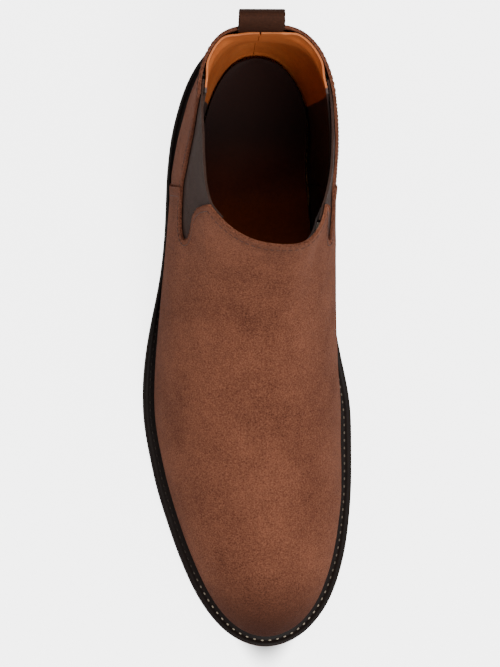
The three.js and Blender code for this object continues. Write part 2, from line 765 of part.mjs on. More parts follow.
/** The webbing loop that stands on the heel's rim and folds about its sewn foot. */
function addPullTab() {
  const foot = TAB_PLY * 1.05;
  const bulge = TAB_OPEN / 2 + TAB_PLY;
  const profile = (inner) => {
    const t = inner ? TAB_PLY : 0;
    return [
      [inner ? -0.4 : -foot, 3.5 * t],
      [-bulge + t, 0.62 * TAB_HEIGHT],
      [-0.85 * bulge + t, 0.86 * TAB_HEIGHT - 0.5 * t],
      [-0.42 * bulge, TAB_HEIGHT - t],
      [0.42 * bulge, TAB_HEIGHT - t],
      [0.85 * bulge - t, 0.86 * TAB_HEIGHT - 0.5 * t],
      [bulge - t, 0.62 * TAB_HEIGHT],
      [inner ? 0.4 : foot, 3.5 * t],
    ].map(([y, z]) => new THREE.Vector2(y, z));
  };
  const shape = new THREE.Shape(profile(false));
  shape.holes.push(new THREE.Path(profile(true).reverse()));
  const loop = new THREE.ExtrudeGeometry(shape, { depth: TAB_WIDTH, bevelEnabled: false });
  loop.applyMatrix4(
    new THREE.Matrix4().makeBasis(
      new THREE.Vector3(0, 1, 0),
      new THREE.Vector3(0, 0, 1),
      new THREE.Vector3(1, 0, 0),
    ),
  );
  loop.translate(-TAB_WIDTH / 2, 0, 0);
  const tab = new THREE.Mesh(loop, MATERIALS.webbing);
  tab.name = "pull_tab";
  tab.rotation.x = -TAB_LEAN;
  const rim = LAST[RINGS][SEGMENTS / 2];
  const seamDepth = CORE_DEPTH + CORE / 2;
  tab.position.set(centreX(rim.y, BACK_RIM), rim.y - seamDepth, BACK_RIM + 0.9);
  boot.add(tab);
}

addUpper();
addCore();
addLining();
addFootbed();
addSole();
addHeel();
addWeltSeam();
addPullTab();

// The origin is the middle of the boot's footprint, on the floor.
const bounds = new THREE.Box3().setFromObject(boot);
boot.position.set(-(bounds.min.x + bounds.max.x) / 2, -(bounds.min.y + bounds.max.y) / 2, -bounds.min.z);

export default boot;
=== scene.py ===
"""A right-foot suede chelsea boot with elastic side gores, dressed for the studio.

Sizes are in millimetres until a mesh is made. The frame has +X towards the inner side of
the foot, +Y towards the heel and +Z up, and the sole stands on Z = 0.
"""

import json
import logging
import math
from dataclasses import dataclass
from enum import Enum
from typing import Any, Callable, Sequence

import bpy
import numpy as np
from mathutils import Matrix, Vector


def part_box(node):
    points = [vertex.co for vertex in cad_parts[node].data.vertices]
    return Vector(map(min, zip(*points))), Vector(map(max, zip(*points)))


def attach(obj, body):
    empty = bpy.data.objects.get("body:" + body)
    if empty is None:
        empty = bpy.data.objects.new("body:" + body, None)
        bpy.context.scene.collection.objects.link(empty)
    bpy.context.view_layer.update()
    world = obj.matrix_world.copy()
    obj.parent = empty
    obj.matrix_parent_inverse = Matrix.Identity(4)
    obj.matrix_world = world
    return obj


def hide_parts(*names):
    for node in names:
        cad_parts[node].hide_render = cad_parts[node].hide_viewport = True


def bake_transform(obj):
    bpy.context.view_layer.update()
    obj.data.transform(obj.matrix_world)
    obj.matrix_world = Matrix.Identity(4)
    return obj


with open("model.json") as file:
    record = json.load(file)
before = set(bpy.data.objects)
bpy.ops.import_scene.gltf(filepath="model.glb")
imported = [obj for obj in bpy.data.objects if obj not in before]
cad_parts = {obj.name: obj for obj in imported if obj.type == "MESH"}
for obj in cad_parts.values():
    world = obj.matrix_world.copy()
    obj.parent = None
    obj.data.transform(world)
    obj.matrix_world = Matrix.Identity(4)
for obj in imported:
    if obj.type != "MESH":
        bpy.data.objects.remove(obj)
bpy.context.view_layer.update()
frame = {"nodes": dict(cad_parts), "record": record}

LOG = logging.getLogger("boot")
MM = 0.001
Array = np.ndarray
Function = Callable[[Array], Array]


class Side(Enum):
    """The two sides of a right-foot boot, by the sign of X."""

    OUTER = -1
    INNER = 1


# ------------------------------------------------------------------ curves
def curve(points: Sequence[tuple[float, float]]) -> Function:
    """Make a smooth curve that never overshoots its points.

    Args:
        points: The (x, value) pairs it passes through, in order of x.

    Returns:
        A function of x, level beyond both ends.
    """
    xs, vs = np.array(points, dtype=float).T
    rise = np.diff(vs) / np.diff(xs)
    slope = np.concatenate([rise[:1], np.zeros(len(rise) - 1), rise[-1:]])
    a, b = rise[:-1], rise[1:]
    same = a * b > 0
    slope[1:-1][same] = 2 * a[same] * b[same] / (a[same] + b[same])

    def at(x: Array) -> Array:
        """Value of the curve at x."""
        x = np.clip(x, xs[0], xs[-1])
        i = np.clip(np.searchsorted(xs, x, side="right") - 1, 0, len(xs) - 2)
        h = xs[i + 1] - xs[i]
        t = (x - xs[i]) / h
        start = (1 + 2 * t) * (1 - t) ** 2 * vs[i] + t * (1 - t) ** 2 * h * slope[i]
        return start + t * t * (3 - 2 * t) * vs[i + 1] + t * t * (t - 1) * h * slope[i + 1]

    return at


def round_start(points: Sequence[tuple[float, float]]) -> Function:
    """Make a curve that starts square to its axis, as the end of an oval does.

    Args:
        points: The (x, value) pairs it passes through.

    Returns:
        A function of x.
    """
    through = curve([(math.sqrt(x), v) for x, v in points])
    return lambda x: through(np.sqrt(np.maximum(x, 0)))


def smooth(x: Array, start: float, end: float) -> Array:
    """Ease from 0 at start to 1 at end."""
    t = np.clip((x - start) / (end - start), 0, 1)
    return t * t * (3 - 2 * t)


def ripple(points: Array, wavelength: float, seed: int, waves: int = 7) -> Array:
    """Give a soft random height at each point, between about -1 and 1.

    Args:
        points: Places in millimetres, one row each.
        wavelength: The usual distance between two bumps, in millimetres.
        seed: Picks one pattern.
        waves: How many plane waves are added up.

    Returns:
        One height for each point.
    """
    rng = np.random.default_rng(seed)
    turn = rng.normal(size=(waves, 3))
    turn *= (2 * np.pi / wavelength) / np.linalg.norm(turn, axis=1, keepdims=True)
    turn *= rng.uniform(0.7, 1.4, size=(waves, 1))
    phase = rng.uniform(0, 2 * np.pi, waves)
    return np.sin(points @ turn.T + phase).sum(axis=1) / math.sqrt(2 * waves)


# ------------------------------------------------------------------ the last
@dataclass
class Last:
    """The curved form that every layer of the boot follows at its own depth.

    It is measured from the toe tip: places along it are shares of its length. The feather
    line is where the upper meets the welt, and the tuck draws the upper in towards it.
    """

    length: float = 292.5
    ball: float = 92.0
    shaft_width: float = 58.6
    shaft_spread: float = 3.3
    front_rim: float = 150.0
    back_rim: float = 152.0
    heel_height: float = 20.0
    toe_spring: float = 9.0
    instep: float = 95.0
    outsole: float = 5.0
    welt: float = 3.0
    gap: float = 0.3
    seat_start: float = 0.735
    shaft_place: float = 0.805
    heel_cup: float = 5.5
    cup_length: float = 50.0
    centre: float = 2.2
    toe_swing: float = 5.0
    shin_turn: float = 9.8
    heel_set: float = 2.0
    neck: float = 82.0
    tuck_height: float = 18.0
    tuck_width: float = 20.0
    narrow_start: float = 60.0
    oval_start: float = 100.0
    oval_end: float = 110.0
    heel_lean: float = 2.2
    lean_heights: tuple[float, float] = (32.0, 62.0)
    lean_shares: tuple[float, float] = (0.8, 0.92)
    dents: tuple[tuple[float, float, int], ...] = ((0.32, 46, 3), (0.12, 17, 8))
    shift: tuple[float, float] = (0.0, 0.0)

    def __post_init__(self) -> None:
        """Work out the curves of the form from its sizes."""
        self.stack = self.outsole + self.welt + 2 * self.gap
        self.breast = self.seat_start * self.length
        self.shaft_y = self.shaft_place * self.length
        h, t = self.heel_height, self.toe_spring
        self._sole = curve(
            [(-0.02, t), (0.09, 0.47 * t), (0.19, 0.13 * t), (0.31, 0), (0.39, 0.03 * h),
             (0.51, 0.3 * h), (0.63, 0.72 * h), (self.seat_start - 0.01, h), (1.1, h)]
        )
        self._outer = round_start(
            [(0, 0), (0.029, 0.207), (0.08, 0.319), (0.18, 0.438), (0.28, 0.512), (0.38, 0.546),
             (0.47, 0.533), (0.61, 0.492), (0.75, 0.448), (0.88, 0.391), (1, 0.375)]
        )
        self._inner = round_start(
            [(0, 0), (0.029, 0.207), (0.08, 0.311), (0.18, 0.402), (0.28, 0.439), (0.38, 0.45),
             (0.47, 0.433), (0.61, 0.42), (0.75, 0.402), (0.88, 0.402), (1, 0.392)]
        )
        self._outer_tuck = curve([(0, 0.8), (0.4, 0.8), (0.65, 3), (0.85, 0.5), (1, 0.5)])
        self._inner_tuck = curve([(0, 0.8), (0.35, 0.8), (0.6, 7), (0.75, 4.5), (0.9, 1.5), (1, 1.5)])
        rise = self.rise
        ridge = [
            (0, self.stack + t), (0.0034, 24), (0.0154, 31), (0.0376, 38), (0.075, 44.2),
            (0.1265, 49.5), (0.188, 54.8), (0.256, 60.5), (0.325, 67), (0.39, 75.5), (0.451, 85),
            (0.506, self.instep), (0.55, rise(0.21)), (0.586, rise(0.43)), (0.615, rise(0.68)),
            (0.636, self.front_rim), (0.65, rise(1.35)),
        ]
        self._ridge = round_start(ridge)
        self._shares = ridge[-1][0] * np.linspace(0, 1, 4000) ** 2
        self._heights = self._ridge(self._shares)

        def up(part: float) -> float:
            """Height at a part of the way from the neck of the heel to the rim."""
            return self.neck + part * (self.back_rim - self.neck)

        self._set = curve(
            [(28.6, -2.5), (38, -0.6), (50, 0), (65, -0.8), (self.neck, -3.2), (up(0.23), -5.8),
             (up(0.47), -8), (up(0.71), -8.6), (up(1), -8), (up(1.3), -7.5)]
        )
        toe, heel = float(self.feather(0.0)), float(self.feather(self.length))
        self._back = curve(
            [(toe, heel), (31, 39), (44.2, 48), (54.8, 60), (75.5, 82), (self.instep, 99),
             (self.front_rim, self.back_rim)]
        )
        self._front = curve(
            [(0, toe), (0.13, 31), (0.27, 44.2), (0.4, 54.8), (0.6, 75.5), (0.74, self.instep),
             (1, self.front_rim)]
        )

    def rise(self, part: float) -> float:
        """Height at a part of the way from the instep to the front of the topline."""
        return self.instep + part * (self.front_rim - self.instep)

    def at(self, share: float, z: float) -> tuple[float, float]:
        """A side-view point from a share of the length and a height."""
        return share * self.length, z

    def underside(self, y: Array) -> Array:
        """Height of the sole's underside."""
        return self._sole(np.asarray(y) / self.length)

    def feather(self, y: Array) -> Array:
        """Height of the line where the upper meets the welt."""
        return self.underside(y) + self.stack

    def front_y(self, z: Array) -> Array:
        """Where the ridge of the upper stands at a height."""
        return self.length * np.interp(z, self._heights, self._shares)

    def back_y(self, z: Array) -> Array:
        """Where the back of the heel stands at a height."""
        return self.length + self._set(z)

    def half_width(self, y: Array, z: Array, side: Array) -> Array:
        """How far the upper stands out from its centreline.

        Args:
            y: Places along the boot.
            z: Heights.
            side: -1 for the outer side, 1 for the inner side.

        Returns:
            Half widths.
        """
        along = np.clip(y / self.length, 0, 1)
        full = self.ball * np.where(side < 0, self._outer(along), self._inner(along))
        foot = self.feather(y)
        low = np.clip((z - foot) / self.tuck_height, 0, 1)
        tuck = np.where(side < 0, self._outer_tuck(along), self._inner_tuck(along))
        wide = full - tuck * (1 - low) ** 2 * np.clip(full / self.tuck_width, 0, 1)
        start, end = (share * self.length for share in self.lean_shares)
        lean = self.heel_lean * smooth(z, *self.lean_heights) * smooth(y, start, end)
        wide = wide - np.where(side < 0, lean, 0.0)
        narrow = np.clip((z - self.narrow_start) / (self.front_rim - self.narrow_start), 0, 1.1) ** 1.3
        rim = self.shaft_width / 2 + np.where(side < 0, 0.0, self.shaft_spread)
        base = wide - (wide - rim) * narrow
        behind = 2.2 + 0.8 * smooth(z, self.narrow_start, self.back_rim)
        back = (1 - self.heelward(y, z) ** behind) ** (1 / behind)
        up = np.clip((z - foot) / np.maximum(self._ridge(along) - foot, 1e-6), 0, 1)
        crown = np.sqrt(1 - up**2.2)
        shape = 2 + 0.5 * smooth(z, self.oval_start, self.front_rim)
        ahead = np.clip((self.shaft_y - y) / (self.shaft_y - self.front_y(z)), 0, 1)
        oval = (1 - ahead**shape) ** (1 / shape)
        mix = np.maximum(smooth(z, self.narrow_start, self.oval_end),
                         smooth(y, 0.5 * self.length, self.shaft_y))
        return base * np.where(y >= self.shaft_y, back, crown + (oval - crown) * mix)

    def heelward(self, y: Array, z: Array) -> Array:
        """How far places lie from the shaft's middle, at 0, to the back of the heel, at 1."""
        return np.clip((y - self.shaft_y) / (self.back_y(z) - self.shaft_y), 0, 1)

    def centre_x(self, y: Array, z: Array) -> Array:
        """The centreline, which follows the big toe and the shin's turn inward."""
        reach = 18.0
        toe = self.toe_swing * (1 - smooth(np.asarray(y) / self.length, 0.026, 0.47))
        turn = self.shin_turn * smooth(np.asarray(z), self.narrow_start, self.front_rim)
        near = np.clip((y - self.front_y(z)) / reach, 0, 1)
        shin = turn * np.clip(1 - np.sqrt(near), 0, 1)
        set_over = self.heel_set * smooth(np.asarray(z), self.oval_start, self.back_rim)
        return self.centre + toe + shin - set_over * self.heelward(y, z)

    def point(self, turn: Array, climb: Array) -> Array:
        """Points on the outside of the form.

        Args:
            turn: Angles round it, 0 at the toe, rising along the outer side to pi at the heel.
            climb: 0 at the feather line to 1 at the topline.

        Returns:
            One row of x, y, z for each pair.
        """
        front = self._front(climb)
        back = self._back(front)
        y0, y1 = self.front_y(front), self.back_y(back)
        along = (1 - np.cos(turn)) / 2
        y = y0 + (y1 - y0) * along
        foot0, foot1 = self.feather(y0), self.feather(y1)
        sag = self.feather(y) - (foot0 + (foot1 - foot0) * along)
        z = front + (back - front) * along + sag * (1 - np.clip(climb / 0.5, 0, 1))
        side = np.where(np.sin(turn) >= 0, -1, 1)
        return np.stack([self.centre_x(y, z) + side * self.half_width(y, z, side), y, z], axis=1)

    def normal(self, turn: Array, climb: Array) -> Array:
        """Outward normals of the form at the same kind of places as point takes."""
        e = 0.004
        around = self.point(turn - e, climb) - self.point(turn + e, climb)
        up = self.point(turn, np.minimum(climb + e, 1)) - self.point(turn, np.maximum(climb - e, 0))
        n = np.cross(around, up)
        return n / np.maximum(np.linalg.norm(n, axis=1, keepdims=True), 1e-9)

    def layer(self, turn: Array, climb: Array, depth: Array) -> Array:
        """Points at a depth below the outside, dented as worked leather is."""
        p, n = self.point(turn, climb), self.normal(turn, climb)
        calm = smooth(climb, 0.0, 0.12)
        dents = sum(deep * ripple(p, wavelength, seed) * calm for deep, wavelength, seed in self.dents)
        return p - n * (np.asarray(depth) - dents)[:, None]

    def below_rim(self, p: Array) -> Array:
        """How far points of the outside lie under the topline."""
        y0, y1 = self.front_y(np.array(self.front_rim)), self.back_y(np.array(self.back_rim))
        along = np.clip((p[:, 1] - y0) / (y1 - y0), 0, 1)
        return self.front_rim + (self.back_rim - self.front_rim) * along - p[:, 2]

    def cup(self, y: Array) -> Array:
        """How much the padded lining narrows the heel's seat."""
        return self.heel_cup * smooth(y, self.shaft_y - self.cup_length, self.shaft_y)

    def side_point(self, y: Array, z: Array, side: Side) -> Array:
        """The points of one side that show at these places in side view."""
        sign = np.full(np.shape(y), side.value)
        x = self.centre_x(y, z) + sign * self.half_width(y, z, sign)
        return np.stack([x, y, z], axis=1)

    def side_normal(self, y: Array, z: Array, side: Side) -> Array:
        """Outward normals at the points that side_point gives."""
        e = 0.4
        along = self.side_point(y + e, z, side) - self.side_point(y - e, z, side)
        up = self.side_point(y, z + e, side) - self.side_point(y, z - e, side)
        n = np.cross(along, up) * side.value
        return n / np.linalg.norm(n, axis=1, keepdims=True)

    def outline(self, grow: Function | float, height: Function, count: int = 480) -> Array:
        """The feather line moved outward in plan and set at other heights.

        Args:
            grow: How far out, as a number or a function of y; negative is inward.
            height: The height as a function of y.
            count: How many points.

        Returns:
            A closed ring of points, from the toe along the outer side.
        """
        turn = 2 * np.pi * np.arange(count) / count
        p = self.point(turn, np.zeros(count))
        run = np.roll(p, 1, axis=0) - np.roll(p, -1, axis=0)
        out = np.stack([run[:, 1], -run[:, 0]], axis=1)
        out /= np.linalg.norm(out, axis=1, keepdims=True)
        by = grow(p[:, 1]) if callable(grow) else np.full(count, float(grow))
        p[:, :2] += out * by[:, None]
        p[:, 2] = height(p[:, 1])
        return p

    def to_frame(self, points: Array) -> Array:
        """Turn points of the form into metres in the boot's frame."""
        return (points + np.array([*self.shift, 0.0])) * MM


# ------------------------------------------------------------------ meshes
def enclosed(points: Array, faces: Sequence[Sequence[int]]) -> float:
    """Volume inside closed faces; negative where they face inward."""
    fan = np.array([(f[0], f[j], f[j + 1]) for f in faces for j in range(1, len(f) - 1)])
    a, b, c = (points[fan[:, j]] for j in range(3))
    return float(np.einsum("ij,ij->", a, np.cross(b, c))) / 6


def make_object(name: str, points: Array, faces: Sequence[Sequence[int]], finish: "Finish",
                body: str | None = "boot", sharp: float = 42.0) -> bpy.types.Object:
    """Make a smooth-shaded mesh object that rides on a body.

    Args:
        name: The piece's name.
        points: Its vertices in metres.
        faces: Vertex numbers of each face.
        finish: What it is made of.
        body: The body it moves with, or None for a piece left on no body.
        sharp: Edges that turn by more than this many degrees stay crisp.

    Returns:
        The object, already in the scene.
    """
    points = np.asarray(points)
    if enclosed(points, faces) < 0:
        faces = [list(reversed(face)) for face in faces]
    mesh = bpy.data.meshes.new(name)
    mesh.from_pydata(points.tolist(), [], [list(map(int, f)) for f in faces])
    mesh.validate()
    mesh.update()
    mesh.polygons.foreach_set("use_smooth", np.ones(len(mesh.polygons), dtype=bool))
    mesh.set_sharp_from_angle(angle=math.radians(sharp))
    mesh.materials.append(finish.material())
    thing = bpy.data.objects.new(name, mesh)
    bpy.context.scene.collection.objects.link(thing)
    if body:
        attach(thing, body)
    LOG.info("%s: %d faces", name, len(mesh.polygons))
    return thing


class Patch:
    """A piece of the form's surface, in turn and climb, that can be trimmed to an outline."""

    def __init__(self, last: Last, turns: tuple[float, float, int], climbs: tuple[float, float, int]) -> None:
        """Lay a grid of faces over part of the form.

        Args:
            last: The form.
            turns: First angle, last angle and number of steps; a full turn closes on itself.
            climbs: First climb, last climb and number of steps.
        """
        self.last = last
        closed = abs(turns[1] - turns[0] - 2 * np.pi) < 1e-9
        columns = turns[2] if closed else turns[2] + 1
        t = turns[0] + (turns[1] - turns[0]) * np.arange(columns) / turns[2]
        c = np.linspace(*climbs[:2], climbs[2] + 1)
        self.turn = np.tile(t, len(c))
        self.climb = np.repeat(c, columns)
        self.faces: list[list[int]] = []
        for k in range(climbs[2]):
            for i in range(turns[2]):
                a, b = k * columns + i, k * columns + (i + 1) % columns
                self.faces.append([a, a + columns, b + columns, b])

    def trim(self, keep: Callable[[Array], Array]) -> "Patch":
        """Cut away what lies outside a line, along the line.

        Args:
            keep: Signed distance inside the line for points of the form's outside.

        Returns:
            The patch itself.
        """
        inside = keep(self.last.point(self.turn, self.climb))
        turn, climb = list(self.turn), list(self.climb)
        made: dict[tuple[int, int], int] = {}

        def crossing(a: int, b: int) -> int:
            """Number of the vertex where the line crosses an edge."""
            key = (min(a, b), max(a, b))
            if key not in made:
                a, b = key
                t = float(np.clip(inside[a] / (inside[a] - inside[b]), 0.06, 0.94))
                far = turn[b] + 2 * np.pi * round((turn[a] - turn[b]) / (2 * np.pi))
                made[key] = len(turn)
                turn.append(turn[a] + t * (far - turn[a]))
                climb.append(climb[a] + t * (climb[b] - climb[a]))
            return made[key]

        faces = []
        for face in self.faces:
            kept = [inside[v] >= 0 for v in face]
            if all(kept):
                faces.append(face)
            elif any(kept):
                cut = []
                for j, v in enumerate(face):
                    w = face[(j + 1) % len(face)]
                    if kept[j]:
                        cut.append(v)
                    if kept[j] != (inside[w] >= 0):
                        cut.append(crossing(v, w))
                if len(cut) > 2:
                    faces.append(cut)
        used = sorted({v for face in faces for v in face})
        renumber = {v: n for n, v in enumerate(used)}
        self.turn, self.climb = np.array(turn)[used], np.array(climb)[used]
        self.faces = [[renumber[v] for v in face] for face in faces]
        return self

    def border(self) -> list[tuple[int, int]]:
        """Edges that only one face has, in that face's direction."""
        seen: dict[tuple[int, int], int] = {}
        for face in self.faces:
            for a, b in zip(face, face[1:] + face[:1]):
                seen[(a, b)] = 1
        return [(a, b) for a, b in seen if (b, a) not in seen]

    def raw_edge(self, above: float) -> tuple[Array, Array]:
        """The cut edge higher up than a climb, and the direction away from it at each point."""
        p = self.last.layer(self.turn, self.climb, np.zeros(len(self.turn)))
        n = self.last.normal(self.turn, self.climb)
        out = np.zeros_like(p)
        for a, b in self.border():
            push = np.cross(p[b] - p[a], -n[a])
            out[a] += push
            out[b] += push
        size = np.linalg.norm(out, axis=1)
        edge = (size > 1e-9) & (self.climb > above)
        return (p - 0.5 * n)[edge], out[edge] / size[edge, None]

    def thicken(self, outer: Function | float, inner: Function | float,
                round_mm: float = 0.0) -> tuple[Array, list[list[int]]]:
        """Give the patch its thickness.

        Args:
            outer: Depth of its outside, as a number or a function of the outside's points.
            inner: Depth of its inside.
            round_mm: How far the cut edge bulges, as a worn raw edge does.

        Returns:
            Points in millimetres and faces.
        """
        p = self.last.point(self.turn, self.climb)
        deep = [d(p) if callable(d) else np.full(len(p), float(d)) for d in (outer, inner)]
        top = self.last.layer(self.turn, self.climb, deep[0])
        low = self.last.layer(self.turn, self.climb, deep[1])
        n = len(p)
        faces = [list(f) for f in self.faces] + [[v + n for v in reversed(f)] for f in self.faces]
        border = self.border()
        if round_mm <= 0:
            faces += [[b, a, a + n, b + n] for a, b in border]
            return np.concatenate([top, low]), faces
        out = np.zeros_like(p)
        across = top - low
        for a, b in border:
            push = np.cross(top[b] - top[a], across[a])
            push /= max(np.linalg.norm(push), 1e-9)
            out[a] += push
            out[b] += push
        edge = sorted({v for pair in border for v in pair})
        number = {v: 2 * n + j for j, v in enumerate(edge)}
        length = np.maximum(np.linalg.norm(out, axis=1, keepdims=True), 1e-9)
        middle = (top + low)[edge] / 2 + (out / length * round_mm)[edge]
        for a, b in border:
            faces.append([b, a, number[a], number[b]])
            faces.append([number[b], number[a], a + n, b + n])
        return np.concatenate([top, low, middle]), faces


def fibres(roots: Array, out: Array, seed: int, each: int = 7, length: float = 1.3,
           width: float = 0.2) -> tuple[Array, list[list[int]]]:
    """Set short loose fibres along a raw edge.

    Args:
        roots: Points of the edge in millimetres.
        out: The direction away from the edge at each point.
        seed: Picks one pattern.
        each: Fibres at each point.
        length: The longest fibre.
        width: Thickness at the root.

    Returns:
        Points and faces of all the fibres, each a closed spike.
    """
    rng = np.random.default_rng(seed)
    n = len(roots) * each
    tilt = np.repeat(out, each, axis=0) + rng.normal(scale=0.55, size=(n, 3))
    tilt /= np.linalg.norm(tilt, axis=1, keepdims=True)
    root = np.repeat(roots, each, axis=0) + rng.normal(scale=0.25, size=(n, 3))
    side = np.cross(tilt, [0.3, 0.5, 0.81])
    side /= np.linalg.norm(side, axis=1, keepdims=True)
    other = np.cross(tilt, side)
    reach = length * rng.uniform(0.35, 1.0, size=(n, 1))
    base = [root + width / 2 * (side * math.cos(a) + other * math.sin(a)) for a in (0, 2.1, 4.2)]
    points = np.stack([*base, root + tilt * reach], axis=1).reshape(-1, 3)
    faces = []
    for j in range(0, 4 * n, 4):
        faces += [[j, j + 2, j + 1], [j, j + 1, j + 3], [j + 1, j + 2, j + 3], [j + 2, j, j + 3]]
    return points, faces


def loft(rings: Sequence[Array], closed: bool) -> tuple[Array, list[list[int]]]:
    """Join rings of equal length into a band.

    Args:
        rings: The rings, in order round or up the section.
        closed: Whether the last ring joins the first.

    Returns:
        Points and faces.
    """
    count = len(rings[0])
    faces = []
    for r in range(len(rings) if closed else len(rings) - 1):
        a, b = r * count, (r + 1) % len(rings) * count
        faces += [[a + i, b + i, b + (i + 1) % count, a + (i + 1) % count] for i in range(count)]
    return np.concatenate(rings), faces


def capped(rings: Sequence[Array]) -> tuple[Array, list[list[int]]]:
    """Join rings into a tube and close each of its ends with one face."""
    points, faces = loft(rings, closed=False)
    count = len(rings[0])
    faces.append(list(range(count)))
    faces.append([len(points) - count + j for j in reversed(range(count))])
    return points, faces


def slab(rings: Sequence[Array], crown: Callable[[Array, Array], Array] | None = None,
         across: int = 16) -> tuple[Array, list[list[int]]]:
    """Close a stack of outline rings with a grid across its bottom and its top.

    Args:
        rings: Outlines from bottom to top, each from the toe round to the toe.
        crown: Height added to the top at (y, share of the half width).
        across: Steps from side to side.

    Returns:
        Points and faces.
    """
    points, faces = loft(rings, closed=False)
    count = len(rings[0])
    extra = [points]
    total = len(points)
    for base, flip in ((0, True), (len(points) - count, False)):
        ring = points[base:base + count]
        rows: list[list[int]] = [[base] * (across + 1)]
        for j in range(1, count // 2):
            left, right = ring[j], ring[count - j]
            t = np.arange(1, across)[:, None] / across
            inner = left + (right - left) * t
            if crown is not None and not flip:
                inner[:, 2] += crown(inner[:, 1], np.abs(2 * t[:, 0] - 1))
            extra.append(inner)
            rows.append([base + j, *range(total, total + across - 1), base + count - j])
            total += across - 1
        rows.append([base + count // 2] * (across + 1))
        for low, high in zip(rows, rows[1:]):
            for m in range(across):
                face = list(dict.fromkeys([low[m], low[m + 1], high[m + 1], high[m]]))
                if len(face) > 2:
                    faces.append(face[::-1] if flip else face)
    return np.concatenate(extra), faces


def signed_distance(points: Array, outline: Array) -> Array:
    """Distance of side-view points inside a closed outline; negative outside.

    Args:
        points: (y, z) pairs.
        outline: The outline's (y, z) corners in order.

    Returns:
        One distance for each point.
    """
    best = np.full(len(points), np.inf)
    inside = np.zeros(len(points), dtype=bool)
    for a, b in zip(outline, np.roll(outline, -1, axis=0)):
        run = b - a
        t = np.clip(((points - a) @ run) / max(run @ run, 1e-12), 0, 1)
        best = np.minimum(best, np.linalg.norm(points - a - t[:, None] * run, axis=1))
        crosses = (a[1] > points[:, 1]) != (b[1] > points[:, 1])
        reach = a[0] + (points[:, 1] - a[1]) * run[0] / (run[1] if run[1] else 1e-12)
        inside ^= crosses & (points[:, 0] < reach)
    return np.where(inside, best, -best)


def rounded(outline: Array, times: int = 2) -> Array:
    """Round the corners of an open line by cutting them, its ends kept."""
    for _ in range(times):
        a, b = outline[:-1], outline[1:]
        cut = np.stack([0.75 * a + 0.25 * b, 0.25 * a + 0.75 * b], axis=1).reshape(-1, 2)
        outline = np.concatenate([outline[:1], cut, outline[-1:]])
    return outline


def stitches(path: Array, normals: Array, pitch: float, length: float, width: float,
             lift: float) -> tuple[Array, list[list[int]]]:
    """Lay a row of separate stitches along a path.

    Args:
        path: Points of the row in millimetres.
        normals: The surface's outward normals at those points.
        pitch: Distance from one stitch to the next.
        length: Visible length of a stitch.
        width: Thickness of the thread.
        lift: How far a stitch's middle stands off the surface.

    Returns:
        Points and faces of all the stitches.
    """
    run = np.concatenate([[0], np.cumsum(np.linalg.norm(np.diff(path, axis=0), axis=1))])
    count = int(run[-1] / pitch)
    s = (np.arange(count) + 0.5) * run[-1] / count
    step = 0.3

    def along(values: Array, places: Array) -> Array:
        """Values of the row at distances along it."""
        return np.stack([np.interp(places, run, values[:, j]) for j in range(3)], axis=1)

    here = along(path, s)
    n = along(normals, s)
    n /= np.linalg.norm(n, axis=1, keepdims=True)
    t = along(path, s + step) - along(path, s - step)
    t /= np.linalg.norm(t, axis=1, keepdims=True)
    w = np.cross(n, t)
    rows, sides = 6, 8
    points, faces = [], []
    for j in range(count):
        base = j * (rows * sides + 2)
        for r in range(rows):
            a = np.pi * (r + 1) / (rows + 1)
            for v in range(sides):
                b = 2 * np.pi * v / sides
                slim = math.sin(a) ** 0.6
                points.append(
                    here[j] + n[j] * (lift + 0.5 * width * slim * math.sin(b))
                    + w[j] * 0.5 * width * slim * math.cos(b) + t[j] * 0.5 * length * math.cos(a)
                )
                if r < rows - 1:
                    p, q = base + r * sides + v, base + r * sides + (v + 1) % sides
                    faces.append([p, p + sides, q + sides, q])
        points += [here[j] + n[j] * lift + t[j] * 0.5 * length, here[j] + n[j] * lift - t[j] * 0.5 * length]
        first, last = base + rows * sides, base + rows * sides + 1
        for v in range(sides):
            faces.append([first, base + v, base + (v + 1) % sides])
            end = base + (rows - 1) * sides
            faces.append([last, end + (v + 1) % sides, end + v])
    return np.array(points), faces


# ------------------------------------------------------------------ finishes
def linear(code: str) -> tuple[float, float, float, float]:
    """Turn an sRGB hex colour into the linear values that shaders take."""
    parts = [int(code[i:i + 2], 16) / 255 for i in (1, 3, 5)]
    r, g, b = (c / 12.92 if c <= 0.04045 else ((c + 0.055) / 1.055) ** 2.4 for c in parts)
    return r, g, b, 1.0


def add_node(tree: bpy.types.NodeTree, kind: str, inputs: dict[str, Any] | None = None,
             **settings: Any) -> bpy.types.Node:
    """Add a node with its settings, values and links.

    Args:
        tree: The material's node tree.
        kind: The node's type.
        inputs: Socket identifier or name to a value or to another node's output.
        **settings: Attributes of the node.

    Returns:
        The node.
    """
    made = tree.nodes.new(kind)
    for key, value in settings.items():
        setattr(made, key, value)
    for key, value in (inputs or {}).items():
        socket = next((s for s in made.inputs if s.identifier == key), None) or made.inputs[key]
        if isinstance(value, bpy.types.NodeSocket):
            tree.links.new(value, socket)
        else:
            socket.default_value = value
    return made


